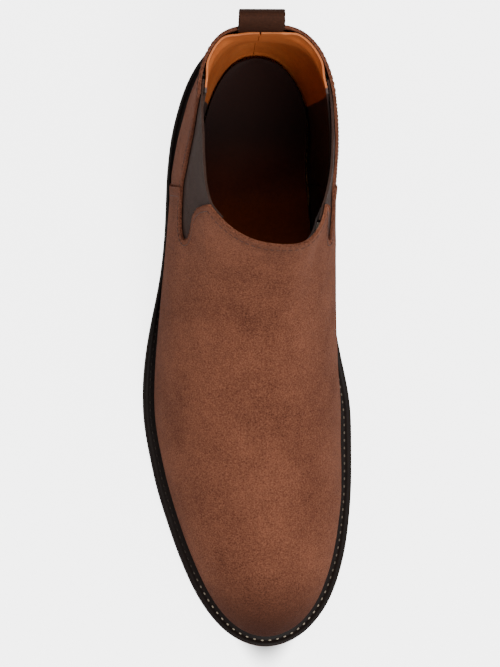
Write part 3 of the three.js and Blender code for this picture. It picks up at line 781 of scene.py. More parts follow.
@dataclass(frozen=True)
class Finish:
    """A material by its real name: its colours, its surface and the record's slot it belongs to.

    Each grain is noise of a size in millimetres, with how much of the way from the dark
    colour to the light one it moves the colour. The bump follows the same grains.
    """

    name: str
    slot: str
    dark: str
    light: str
    roughness: float = 0.6
    ior: float = 1.5
    metallic: float = 0.0
    sheen: float = 0.0
    sheen_roughness: float = 0.5
    coat: float = 0.0
    specular: float = 0.5
    grains: tuple[tuple[float, float], ...] = ((12.0, 0.4), (2.0, 0.3), (0.5, 0.3))
    bump_mm: float = 0.05

    def material(self) -> bpy.types.Material:
        """The finish as a material, made once."""
        done = bpy.data.materials.get(self.name)
        if done:
            return done
        material = bpy.data.materials.new(self.name)
        material.use_nodes = True
        tree = material.node_tree
        tree.nodes.clear()
        shader = add_node(tree, "ShaderNodeBsdfPrincipled", {
            "Roughness": self.roughness, "IOR": self.ior, "Metallic": self.metallic,
            "Sheen Weight": self.sheen, "Sheen Roughness": self.sheen_roughness,
            "Sheen Tint": linear(self.light), "Coat Weight": self.coat,
            "Specular IOR Level": self.specular,
        })
        add_node(tree, "ShaderNodeOutputMaterial", {"Surface": shader.outputs["BSDF"]})
        place = add_node(tree, "ShaderNodeTexCoord")
        mm = add_node(tree, "ShaderNodeVectorMath", {
            "Vector": place.outputs["Object"], "Scale": 1 / MM}, operation="SCALE")
        at = mm.outputs["Vector"]
        tone = self.tone(tree, at)
        colour = self.colour(tree, at, tone)
        tree.links.new(colour, shader.inputs["Base Color"])
        bump = add_node(tree, "ShaderNodeBump", {
            "Height": tone, "Distance": self.bump_mm * MM, "Strength": 1.0})
        tree.links.new(bump.outputs["Normal"], shader.inputs["Normal"])
        return material

    def tone(self, tree: bpy.types.NodeTree, at: bpy.types.NodeSocket) -> bpy.types.NodeSocket:
        """How far each place is from the dark colour to the light one."""
        total: bpy.types.NodeSocket | float = 0.5 - sum(share for _, share in self.grains) / 2
        for size, share in self.grains:
            noise = add_node(tree, "ShaderNodeTexNoise", {
                "Vector": at, "Scale": 1 / size, "Detail": 3.0, "Roughness": 0.6})
            spread = add_node(tree, "ShaderNodeMapRange", {
                "Value": noise.outputs["Fac"], "From Min": 0.3, "From Max": 0.7,
                "To Min": 0.0, "To Max": share})
            total = add_node(tree, "ShaderNodeMath", {
                "Value": total, "Value_001": spread.outputs["Result"]}, operation="ADD").outputs[0]
        return total

    def colour(self, tree: bpy.types.NodeTree, at: bpy.types.NodeSocket,
               tone: bpy.types.NodeSocket) -> bpy.types.NodeSocket:
        """The colour at each place."""
        mix = add_node(tree, "ShaderNodeMix", {
            "Factor_Float": tone, "A_Color": linear(self.dark), "B_Color": linear(self.light)},
            data_type="RGBA")
        return mix.outputs[2]


@dataclass(frozen=True)
class ToneByPlace(Finish):
    """A finish that turns to a second colour along the boot and towards one of its sides.

    The second colour is painted shade at the suede's toe and outer side, in the lining forward of the
    elastic and in the sock under the heel, painted light on the welt thread, and a paler tip on the
    rubber. The ranges run from where the second colour starts to where it is full, along Y and then
    along X, and side_share is how far it goes at the side.
    """

    # The colour laid in by place, which is painted shade on the suede, lining and sock and painted light on
    # the welt thread.
    second_colour: str = "#4b2a20"
    toe_mm: tuple[float, float] = (-104.0, -148.0)
    side_mm: tuple[float, float] = (-14.0, -56.0)
    side_share: float = 0.15

    def colour(self, tree: bpy.types.NodeTree, at: bpy.types.NodeSocket,
               tone: bpy.types.NodeSocket) -> bpy.types.NodeSocket:
        """The mottled colour, turning to the second one along the boot and to the side."""
        plain = super().colour(tree, at, tone)
        axes = add_node(tree, "ShaderNodeSeparateXYZ", {"Vector": at})
        toe = add_node(tree, "ShaderNodeMapRange", {
            "Value": axes.outputs["Y"], "From Min": self.toe_mm[0], "From Max": self.toe_mm[1]},
            interpolation_type="SMOOTHSTEP")
        side = add_node(tree, "ShaderNodeMapRange", {
            "Value": axes.outputs["X"], "From Min": self.side_mm[0], "From Max": self.side_mm[1],
            "To Max": self.side_share}, interpolation_type="SMOOTHSTEP")
        most = add_node(tree, "ShaderNodeMath", {
            "Value": toe.outputs["Result"], "Value_001": side.outputs["Result"]}, operation="MAXIMUM")
        # Lays the colour placed by Y and X, the painted shade and light, over the finish's own mottle.
        mix = add_node(tree, "ShaderNodeMix", {
            "Factor_Float": most.outputs[0], "A_Color": plain, "B_Color": linear(self.second_colour)},
            data_type="RGBA")
        return mix.outputs[2]


# Split suede: the nap scatters light with no highlight, its lie makes soft pale and dark patches,
# and painted shade darkens it at the toe and along the outer side.
SUEDE = ToneByPlace("split_suede", "suede", "#48261b", "#8f5942", roughness=0.95, ior=1.45, sheen=0.18,
                  sheen_roughness=0.45, specular=0.15,
                  grains=((38.0, 0.36), (8.0, 0.1), (2.0, 0.08), (0.75, 0.8), (0.4, 0.5)), bump_mm=0.3,
                  second_colour="#331a13", side_share=0.2)
# Woven elastic: rubber cores under dull yarn, so the ribs catch a soft light along their tops.
ELASTIC = Finish("woven_elastic", "elastic", "#251813", "#47322a", roughness=0.8, sheen=0.05, specular=0.15,
                 grains=((6.0, 0.2), (0.9, 0.4), (0.35, 0.4)), bump_mm=0.08)
# Grosgrain webbing: dense ribbed weave with a slight silk.
GROSGRAIN = Finish("grosgrain_webbing", "webbing", "#251108", "#472718", roughness=0.75, sheen=0.04,
                   specular=0.15, grains=((5.0, 0.2), (0.8, 0.4), (0.3, 0.4)), bump_mm=0.06)
# Vegetable-tanned lining: warm tan with a closed, lightly polished grain round the heel, and painted
# shade making it dark from the back edge of the elastic forward.
LINING = ToneByPlace("vegetable_tan_lining", "lining", "#b9592a", "#e08444", roughness=0.5, specular=0.3,
                   second_colour="#4a3d38", toe_mm=(112.8, 111.8), side_share=0.0,
                   grains=((22.0, 0.35), (3.0, 0.25), (0.6, 0.4)), bump_mm=0.035)
# Aniline-dyed sock leather: red-brown towards the toe, with painted shade making it nearly black under the
# heel, smooth and dull.
SOCK = ToneByPlace("aniline_sock_leather", "sock", "#6b2a0e", "#984517", roughness=0.6, specular=0.12,
                 second_colour="#200b06", toe_mm=(30.0, 104.0), side_share=0.0,
                 grains=((30.0, 0.5), (1.2, 0.3), (0.4, 0.2)), bump_mm=0.03)
# Waxed welt leather: black-brown edge ink under wax, so it shines along its rim.
WELT = Finish("waxed_welt_leather", "welt", "#0c0705", "#1d130e", roughness=0.5, specular=0.12,
              grains=((9.0, 0.3), (1.1, 0.35), (0.35, 0.35)), bump_mm=0.05)
# Moulded rubber: dull, slightly pitted by the mould, and paler at the very tip of the toe.
RUBBER = ToneByPlace("moulded_rubber", "rubber", "#1b110c", "#32211a", roughness=0.6, specular=0.12,
                   grains=((15.0, 0.3), (1.6, 0.3), (0.4, 0.4)), bump_mm=0.05,
                   second_colour="#7a4c36", toe_mm=(-143.0, -149.0), side_share=0.0)
# Stacked leather edge: inked, waxed and burnished, with the layers' faint lines.
STACK = Finish("stacked_leather_edge", "stack", "#24150e", "#3d281a", roughness=0.5, coat=0.04, specular=0.2,
               grains=((14.0, 0.3), (2.0, 0.3), (0.4, 0.4)), bump_mm=0.04)
# Waxed linen thread: inked dark with the welt, with painted light making it pale round the toe and partly
# along the inner side.
WELT_THREAD = ToneByPlace("waxed_linen_thread", "thread", "#1f1a16", "#3a322b", roughness=0.6, specular=0.2,
                        second_colour="#a89b88", toe_mm=(-108.0, -136.0), side_mm=(16.0, 44.0), side_share=0.3,
                        grains=((2.0, 0.5), (0.3, 0.5)), bump_mm=0.05)
# Bonded polyester thread: dyed to the suede, a little darker and smoother than the nap.
UPPER_THREAD = Finish("bonded_polyester_thread", "suede", "#3d2216", "#5e3726", roughness=0.7,
                      grains=((2.0, 0.5), (0.3, 0.5)), bump_mm=0.04)
# Resin-stiffened cloth of the toe puff and the heel counter: pale, dry and a little coarse.
STIFFENER = Finish("resin_stiffened_cloth", "stiffener", "#b9ad95", "#ded5c2", roughness=0.75,
                   grains=((8.0, 0.4), (0.7, 0.6)), bump_mm=0.06)
# Cotton twill interlining: nearly white, soft and quite without shine.
TWILL = Finish("cotton_twill", "interlining", "#c9bfac", "#e8e0d2", roughness=0.9, sheen=0.2,
               grains=((8.0, 0.3), (0.6, 0.7)), bump_mm=0.06)
# Pressed fibre insole board: straw brown, flat and flecked.
BOARD = Finish("pressed_fibreboard", "board", "#8e7654", "#b99d76", roughness=0.9,
               grains=((4.0, 0.4), (0.5, 0.6)), bump_mm=0.06)
# Latex foam of the heel pad: grey, with fine open cells.
FOAM = Finish("latex_foam", "foam", "#4a4641", "#6b665f", roughness=0.9,
              grains=((1.5, 0.5), (0.4, 0.5)), bump_mm=0.1)
# Cork paste: pale crumbs of cork speckled by the dark glue between them.
CORK = Finish("cork_paste", "cork", "#6d4b2c", "#bd9262", roughness=0.9,
              grains=((2.4, 0.6), (0.8, 0.4)), bump_mm=0.15)
# Drawn steel of the shank and the nails: bright grey with a tight, slightly brushed highlight.
STEEL = Finish("drawn_steel", "steel", "#85898c", "#b4b8ba", roughness=0.35, metallic=1.0,
               grains=((6.0, 0.4), (0.4, 0.6)), bump_mm=0.01)


# ------------------------------------------------------------------ the upper
@dataclass
class Upper:
    """Suede, elastic, stiffeners and lining, each a layer at its own depth on the form.

    The skive is how far under the topline the core stops, and set_back how far under it the
    vamp's lining does.
    """

    last: Last
    suede: float = 1.4
    core: float = 1.2
    lining: float = 0.9
    gap: float = 0.3
    hem: float = 7.0
    seam_gap: float = 0.25
    core_gap: float = 0.4
    skive: float = 16.0
    set_back: float = 9.0
    lining_margin: float = 1.0
    lining_low: float = 18.0
    pressed: float = 0.25
    lap_over: float = 0.45
    lap_under: float = 0.35
    suede_bulge: float = 0.12
    lining_bulge: float = 0.08
    fringe_climb: float = 0.2
    puff_shares: tuple[float, float] = (0.17, 0.04)
    tab_half: float = 10.0
    tab_foot: float = 139.0
    rib_pitch: float = 1.3
    rib_height: float = 0.16
    gore_turns: tuple[float, float] = (0.05, 2.4)
    gore_climbs: tuple[float, float] = (0.5, 0.993)
    gore_row: float = 2.3
    gore_row_top: float = 148.0
    seam_rows: tuple[float, float] = (2.0, 4.2)
    seam_row_top: float = 88.0
    topline_row: float = 0.976
    stitch_pitch: float = 2.7
    stitch_length: float = 2.0
    thread: float = 0.5
    suede_grid: tuple[int, int] = (480, 120)
    gore_grid: tuple[int, int] = (620, 40)
    core_grid: tuple[int, int] = (200, 50)
    lining_grid: tuple[int, int] = (300, 90)

    def __post_init__(self) -> None:
        """Work out depths and the lines that the panels are cut to."""
        last = self.last
        self.core_depth = self.suede + self.gap
        self.lining_depth = self.core_depth + self.core + self.gap
        rise = last.rise
        line = [(0.699, 175), (0.699, rise(0.95)), (0.698, rise(0.6)), (0.691, rise(0.38)),
                (0.683, rise(0.27)), (0.671, rise(0.18)), (0.655, rise(0.05)), (0.65, rise(-0.06)),
                (0.656, rise(-0.13)), (0.67, rise(-0.165)), (0.69, rise(-0.155)),
                (0.71, rise(-0.11)), (0.743, rise(0.0)), (0.773, rise(0.24)), (0.807, rise(0.49)),
                (0.849, rise(0.78)), (0.869, rise(0.98)), (0.872, 175)]
        self.gore_line = rounded(np.array([last.at(s, z) for s, z in line]))
        self.seam = np.array([last.at(0.755, 0), last.at(0.735, rise(-0.03))])
        self.middle = last.centre - last.heel_set

    def gore(self, p: Array, margin: float = 0.0) -> Array:
        """Distance inside the side opening, grown by a margin."""
        return signed_distance(p[:, 1:], self.gore_line) + margin

    def seam_y(self, z: Array) -> Array:
        """Where the side seam runs at a height."""
        return np.interp(z, self.seam[:, 1], self.seam[:, 0])

    def behind(self, p: Array) -> Array:
        """Distance behind the side seam."""
        return p[:, 1] - self.seam_y(p[:, 2])

    def counter(self, p: Array) -> Array:
        """Distance inside the heel counter's outline."""
        last = self.last
        far = last.length + 40
        outline = np.array([last.at(0.8, -5), last.at(0.82, 60), last.at(0.93, 76), (far, 78), (far, -5)])
        return signed_distance(p[:, 1:], outline)

    def puff(self, p: Array) -> Array:
        """Distance inside the toe puff's outline."""
        low, slope = self.puff_shares
        return (low - slope * p[:, 2] / 60) * self.last.length - p[:, 1]

    def tail(self, p: Array) -> Array:
        """Distance inside the pull tab's sewn ends."""
        half = np.minimum(self.tab_half - np.abs(p[:, 0] - self.middle), p[:, 2] - self.tab_foot)
        return np.where(p[:, 1] > self.last.shaft_y, half, -5.0)

    def full(self, grid: tuple[int, int], low: float = 0.0, top: float = 1.0) -> Patch:
        """A patch all round the form between two climbs, with its steps round and up."""
        return Patch(self.last, (0.0, 2 * np.pi, grid[0]), (low, top, grid[1]))

    def half(self, patch: Patch, side: Side) -> Patch:
        """Cut a patch back to one side of the seam down the heel."""
        return patch.trim(lambda p: side.value * (p[:, 0] - self.middle) - self.seam_gap / 2)

    def finish_panel(self, name: str, patch: Patch, outer: Function | float, inner: Function | float,
                     finish: Finish, round_mm: float = 0.0) -> bpy.types.Object:
        """Thicken a patch into the piece that stands for a CAD node of the same name."""
        points, faces = patch.thicken(outer, inner, round_mm)
        piece = make_object(f"{name}_skin", self.last.to_frame(points), faces, finish)
        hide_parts(name)
        return piece

    def fringe(self, name: str, patch: Patch, seed: int) -> None:
        """Loose fibres along a panel's raw edges, above the seams with the welt."""
        points, faces = fibres(*patch.raw_edge(self.fringe_climb), seed)
        make_object(f"{name}_raw_edge", self.last.to_frame(points), faces, SUEDE)

    def build_suede(self) -> None:
        """The vamp, which laps the quarters at the side seams, and the two quarters."""
        def edge(p: Array) -> Array:
            """How far the suede is pressed down beside a gore."""
            return self.pressed * smooth(self.gore(p), -2.2, 0)

        def vamp_face(p: Array) -> Array:
            """Depth of the vamp's face, which stands proud where it laps the quarters."""
            return edge(p) - self.lap_over * smooth(self.behind(p), -7, -0.5)

        def quarter_face(p: Array) -> Array:
            """Depth of a quarter's face, which sinks towards the vamp's edge."""
            return edge(p) + self.lap_under * (1 - smooth(self.behind(p), 0, 6))

        vamp = self.full(self.suede_grid)
        vamp.trim(lambda p: -self.gore(p)).trim(lambda p: -self.behind(p))
        self.finish_panel("vamp", vamp, vamp_face, self.suede, SUEDE, self.suede_bulge)
        self.fringe("vamp", vamp, 1)
        for side, name in ((Side.OUTER, "quarter_outer"), (Side.INNER, "quarter_inner")):
            quarter = self.full(self.suede_grid)
            quarter.trim(lambda p: -self.gore(p)).trim(lambda p: self.behind(p) - 0.1)
            self.half(quarter, side)
            self.finish_panel(name, quarter, quarter_face, self.suede, SUEDE, self.suede_bulge)
            self.fringe(name, quarter, 3 + side.value)

    def build_gores(self) -> None:
        """Ribbed elastic, seen through the side openings."""
        def rib(p: Array) -> Array:
            """Depth of the ribbed face."""
            wave = np.cos(2 * np.pi * p[:, 1] / self.rib_pitch)
            return self.core_depth + self.rib_height * (1 - wave) / 2

        def back_face(p: Array) -> Array:
            """Depth of the face towards the foot, ribbed the other way."""
            return self.core_depth + self.core - (rib(p) - self.core_depth)

        start, end = self.gore_turns
        for side, name in ((Side.OUTER, "gore_outer"), (Side.INNER, "gore_inner")):
            turns = (start, end) if side is Side.OUTER else (2 * np.pi - end, 2 * np.pi - start)
            patch = Patch(self.last, (*turns, self.gore_grid[0]), (*self.gore_climbs, self.gore_grid[1]))
            patch.trim(lambda p: self.gore(p, self.hem))
            self.finish_panel(name, patch, rib, back_face, ELASTIC)

    def build_core(self) -> None:
        """Stiffeners and interlinings, edge to edge with the elastic."""
        inner = self.core_depth + self.core
        gap = self.core_gap

        def off_gore(p: Array) -> Array:
            """Distance outside the elastic's hem."""
            return -self.gore(p, self.hem + gap)

        pieces = {
            "heel_counter": ([self.counter], STIFFENER),
            "toe_puff": ([self.puff], STIFFENER),
            "pull_tab_tails": ([self.tail], GROSGRAIN),
            "interlining_vamp": ([off_gore, lambda p: -self.puff(p) - gap, lambda p: -self.behind(p)], TWILL),
            "interlining_quarter": ([off_gore, lambda p: -self.counter(p) - gap,
                                     lambda p: -self.tail(p) - gap, lambda p: self.behind(p) - gap], TWILL),
        }
        for name, (fields, finish) in pieces.items():
            patch = self.full(self.core_grid, 0.015, 0.985)
            for keep in fields:
                patch.trim(keep)
            if finish is not GROSGRAIN:
                patch.trim(lambda p: self.last.below_rim(p) - self.skive)
            self.finish_panel(name, patch, self.core_depth, inner, finish)

    def build_lining(self) -> None:
        """Lining of the vamp and of the two heel halves, open at the gores, seamed down the heel."""
        def outside(p: Array) -> Array:
            """Depth of the lining's outside, which closes up to the suede under the topline."""
            up = 1 - smooth(self.last.below_rim(p), self.skive - 6, self.skive - 0.5)
            clear = smooth(-self.gore(p), self.hem, self.hem + 9) * smooth(-self.tail(p), 0.5, 9)
            return self.lining_depth - (self.core + self.gap) * up * clear

        def inside(p: Array) -> Array:
            """Depth of its inside, padded round the heel's seat."""
            low = 1 - smooth(p[:, 2], self.last.heel_height + 14, self.last.heel_height + 80)
            return outside(p) + self.lining + self.last.cup(p[:, 1]) * low

        def off_hem(p: Array) -> Array:
            """Distance outside the elastic's hem, or under the level where the lining runs behind it."""
            return np.maximum(self.last.below_rim(p) - self.lining_low, -self.gore(p, self.hem + 1))

        margin = self.lining_margin
        vamp = self.full(self.lining_grid, top=0.99)
        vamp.trim(lambda p: -self.gore(p, margin)).trim(lambda p: -self.behind(p))
        vamp.trim(lambda p: self.last.below_rim(p) - self.set_back).trim(off_hem)
        self.finish_panel("lining_vamp", vamp, outside, inside, LINING, self.lining_bulge)
        for side, name in ((Side.OUTER, "lining_quarter_outer"), (Side.INNER, "lining_quarter_inner")):
            patch = self.full(self.lining_grid, top=0.995)
            patch.trim(lambda p: -self.gore(p, margin)).trim(lambda p: self.behind(p) - self.gap)
            self.half(patch, side)
            self.finish_panel(name, patch, outside, inside, LINING, self.lining_bulge)

    def sew(self, name: str, path: Array, normals: Array, lift: float) -> None:
        """Sew a row of stitches along points of the upper."""
        points, faces = stitches(path, normals, self.stitch_pitch, self.stitch_length, self.thread, lift)
        make_object(name, self.last.to_frame(points), faces, UPPER_THREAD)

    def sew_side(self, name: str, path: Array, side: Side) -> None:
        """Sew a row along side-view points, on one side of the upper."""
        y, z = path.T
        self.sew(name, self.last.side_point(y, z, side), self.last.side_normal(y, z, side), 0.2)

    def build_stitching(self) -> None:
        """Rows beside the gore's edge and the side seam."""
        line = self.gore_line
        run = np.gradient(line, axis=0)
        run /= np.linalg.norm(run, axis=1, keepdims=True)
        out = np.stack([run[:, 1], -run[:, 0]], axis=1)
        beside = line + out * self.gore_row
        beside = beside[beside[:, 1] < self.gore_row_top]
        foot = float(self.last.feather(0.75 * self.last.length)) + 1
        heights = np.linspace(foot, self.seam_row_top, 60)
        for side in Side:
            name = side.name.lower()
            self.sew_side(f"gore_stitching_{name}", beside, side)
            for count, back in enumerate(self.seam_rows, start=1):
                seam = np.stack([self.seam_y(heights) - back, heights], axis=1)
                self.sew_side(f"side_seam_stitching_{name}_{count}", seam, side)

    def build_topline_stitching(self) -> None:
        """A row round the topline, broken at the gores and under the pull tab."""
        steps = 2400
        turn = np.linspace(np.pi, 3 * np.pi, steps)
        climb = np.full_like(turn, self.topline_row)
        p = self.last.layer(turn, climb, np.zeros_like(turn))
        shown = (self.gore(p) < -2.0) & (self.tail(p) < -1.0)
        starts = np.flatnonzero(shown & ~np.roll(shown, 1))
        ends = np.flatnonzero(shown & ~np.roll(shown, -1))
        for count, (a, b) in enumerate(zip(starts, ends), start=1):
            run = slice(a, b + 1)
            self.sew(f"topline_stitching_{count}", p[run], self.last.normal(turn[run], climb[run]), 0.1)

    def build(self) -> None:
        """Build every layer of the upper."""
        self.build_suede()
        self.build_gores()
        self.build_core()
        self.build_lining()
        self.build_stitching()
        self.build_topline_stitching()


# ------------------------------------------------------------------ the bottom
@dataclass
class Bottom:
    """Footbed, welt, outsole and heel, each an outline of the feather line moved out or in."""

    last: Last
    gap: float = 0.3
    suede: float = 1.4
    board: float = 2.2
    pad: float = 2.4
    sock: float = 1.2
    pad_inset: float = 3.0
    pad_start: float = 0.67
    sock_dish: float = 0.9
    sock_bulge: float = 0.3
    lining_inside: float = 4.1
    clearance: float = 0.6
    welt_reach: float = 5.6
    waist_draw: float = 2.0
    toe_draw: float = 0.6
    welt_inner: float = 6.0
    seam_place: float = 0.42
    seam_sink: float = 0.22
    seam_stop: float = 4.0
    lip: float = 0.5
    pitch: float = 3.75
    stitch: float = 1.35
    thread: float = 0.7
    top_piece: float = 6.0
    taper: float = 2.2
    breast_hollow: float = 2.4
    count: int = 720

    def reach(self, y: Array) -> Array:
        """How far the welt shows outside the upper."""
        share = y / self.last.length
        waist, toe = smooth(share, 0.42, 0.62), 1 - smooth(share, 0, 0.1)
        return self.welt_reach - self.waist_draw * waist - self.toe_draw * toe

    def footbed(self, y: Array) -> Array:
        """How far the footbed's edge lies from the feather line; negative is inward."""
        return -(self.lining_inside + self.clearance + self.last.cup(y))

    def over(self, lift: float) -> Function:
        """The height of the feather line with a lift, as a function of y."""
        return lambda y: self.last.feather(y) + lift

    def rings(self, section: Sequence[tuple[Function | float, Function, float]]) -> list[Array]:
        """Outlines for the corners of a section: how far out, the height, and a lift of it."""
        return [self.last.outline(grow, lambda y, h=height, d=lift: h(y) + d, self.count)
                for grow, height, lift in section]

    def place(self, name: str, made: tuple[Array, list[list[int]]], finish: Finish,
              node: str | None = None) -> bpy.types.Object:
        """Make a piece of the bottom, standing for a CAD node if one is named."""
        piece = make_object(name, self.last.to_frame(made[0]), made[1], finish)
        if node:
            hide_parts(node)
        return piece

    def build_footbed(self) -> None:
        """Insole board, heel pad and sock lining."""
        last = self.last
        ring = last.outline
        low = self.suede + self.gap
        high = low + self.board
        base = high + self.gap
        rise = curve([(0.62, 0), (0.74, 0.85 * self.pad), (0.9, self.pad), (1.1, self.pad)])

        def foam(y: Array) -> Array:
            """Thickness of the heel pad."""
            return rise(y / last.length)

        def foot(y: Array) -> Array:
            """Height of the sock lining's underside."""
            return last.feather(y) + base + foam(y) + self.gap

        def dish(y: Array, across: Array) -> Array:
            """How far the sock lining sinks towards its middle."""
            return -self.sock_dish * (1 - across**4)

        board = slab([ring(self.footbed, self.over(low)), ring(self.footbed, self.over(high))])
        self.place("insole_board_sheet", board, BOARD, "insole_board")
        pad = self.heel_cushion(base, foam, lambda y: self.footbed(y) - self.pad_inset)
        self.place("heel_pad_foam", pad, FOAM, "heel_pad")
        rings = [ring(self.footbed, foot),
                 ring(lambda y: self.footbed(y) + self.sock_bulge, lambda y: foot(y) + self.sock / 2),
                 ring(self.footbed, lambda y: foot(y) + self.sock + self.sock_dish)]
        self.place("sock_lining_leather", slab(rings, dish, 24), SOCK, "sock_lining")

    def heel_cushion(self, base: float, foam: Function, grow: Function) -> tuple[Array, list[list[int]]]:
        """The foam pad under the heel, crowned and feathered to nothing at its front."""
        last = self.last
        start = self.pad_start * last.length
        outer = last.outline(grow, self.over(base))
        heel = outer[:, 1] > start
        seat = outer[heel]
        centre = np.array([seat[:, 0].mean(), (seat[:, 1].max() + start) / 2])
        rings = []
        for share, part in ((1.0, 0.0), (1.0, 0.35), (0.96, 0.75), (0.85, 0.95), (0.6, 1.0), (0.3, 1.0)):
            r = seat.copy()
            r[:, :2] = centre + (r[:, :2] - centre) * share
            r[:, 2] = last.feather(r[:, 1]) + base + part * np.maximum(foam(r[:, 1]), 0.05)
            rings.append(r)
        return capped(rings)

    def build_welt(self) -> None:
        """The welt, with its stitches lying in a shallow channel."""
        last, reach = self.last, self.reach

        def foot(y: Array) -> Array:
            """Height of the welt's underside."""
            return last.underside(y) + last.outsole + 0.1

        def top(y: Array) -> Array:
            """Height of the welt's face."""
            return last.underside(y) + last.outsole + last.gap + last.welt

        def line(y: Array) -> Array:
            """How far out the seam runs."""
            return self.seam_place * reach(y)

        section = [
            (-self.welt_inner, foot, 0), (lambda y: reach(y) - 0.3, foot, 0),
            (reach, foot, 0.35), (lambda y: reach(y) + 0.05, top, -1.0),
            (lambda y: reach(y) - 0.12, top, -0.35), (lambda y: reach(y) - 0.6, top, -0.03),
            (lambda y: line(y) + 1.0, top, 0), (lambda y: line(y) + 0.5, top, -0.3),
            (lambda y: line(y) - 0.5, top, -0.3), (lambda y: line(y) - 1.0, top, 0),
            (-self.welt_inner, top, 0),
        ]
        self.place("welt_strip", loft(self.rings(section), closed=True), WELT, "welt")
        path = last.outline(line, lambda y: top(y) - self.seam_sink, self.count)
        shown = path[:, 1] < last.breast - self.seam_stop
        first = int(np.argmax(~shown))
        path = np.roll(path, -first, axis=0)[np.roll(~shown, -first).sum():]
        normals = np.tile([0.0, 0.0, 1.0], (len(path), 1))
        made = stitches(path, normals, self.pitch, self.stitch, self.thread, lift=0.1)
        self.place("welt_stitches", made, WELT_THREAD, "welt_seam")

    def build_outsole(self) -> None:
        """The outsole, with a softened edge."""
        under = self.last.underside

        def top(y: Array) -> Array:
            """Height of the outsole's upper face."""
            return under(y) + self.last.outsole

        edge = [(-1.2, under, 0), (-0.4, under, 0.25), (-0.05, under, 0.9), (0.0, under, 1.4),
                (0.0, top, -0.9), (-0.12, top, -0.3), (-0.5, top, 0.0)]
        section = [(lambda y, g=grow: self.reach(y) + self.lip + g, height, lift)
                   for grow, height, lift in edge]
        self.place("outsole_rubber", slab(self.rings(section), None, 20), RUBBER, "outsole")

    def heel_part(self, grow: Function | float, z: float, start: float) -> Array:
        """The heel's outline at a height, its breast drawn slightly hollow."""
        outer = self.last.outline(grow, lambda y: np.full_like(y, z), self.count)
        seat = outer[outer[:, 1] > start]
        right, left = seat[-1], seat[0]
        steps = 30
        t = np.arange(1, steps)[:, None] / steps
        breast = right + (left - right) * t
        breast[:, 1] += self.breast_hollow * np.sin(np.pi * t[:, 0])
        breast[:, 2] = z
        return np.concatenate([seat, breast])

    def build_heel(self) -> None:
        """Top piece and two lifts, tapering to the floor."""
        height = self.last.heel_height
        lift = (height - self.top_piece) / 2

        def inward(z: float, more: float) -> Function:
            """How far out the heel's wall stands at a height, as a function of y."""
            return lambda y: self.reach(y) - self.taper * (1 - z / height) + more

        layers = (("heel_top_piece", 0.0, self.top_piece, RUBBER),
                  ("heel_lift_lower", self.top_piece, self.top_piece + lift, STACK),
                  ("heel_lift_upper", self.top_piece + lift, height, STACK))
        for node, foot, top, finish in layers:
            high = top - 0.12
            levels = ((foot, -0.45), (foot + 0.25, -0.1), (foot + 0.7, 0.0), (high - 0.7, 0.0),
                      (high - 0.25, -0.08), (high, -0.35))
            rings = [self.heel_part(inward(z, more), z, self.last.breast + 1) for z, more in levels]
            self.place(f"{node}_block", capped(rings), finish, node)

    def dress_hidden(self) -> None:
        """Finishes for the parts closed up inside the sole."""
        inside = {"cork_filler": CORK, "shank": STEEL}
        inside |= {f"heel_nail_{n}": STEEL for n in range(1, 6)}
        for name, finish in inside.items():
            frame["nodes"][name].material_slots[0].material = finish.material()

    def build(self) -> None:
        """Build the bottom from the footbed down."""
        self.build_footbed()
        self.build_welt()
        self.build_outsole()
        self.build_heel()
        self.dress_hidden()


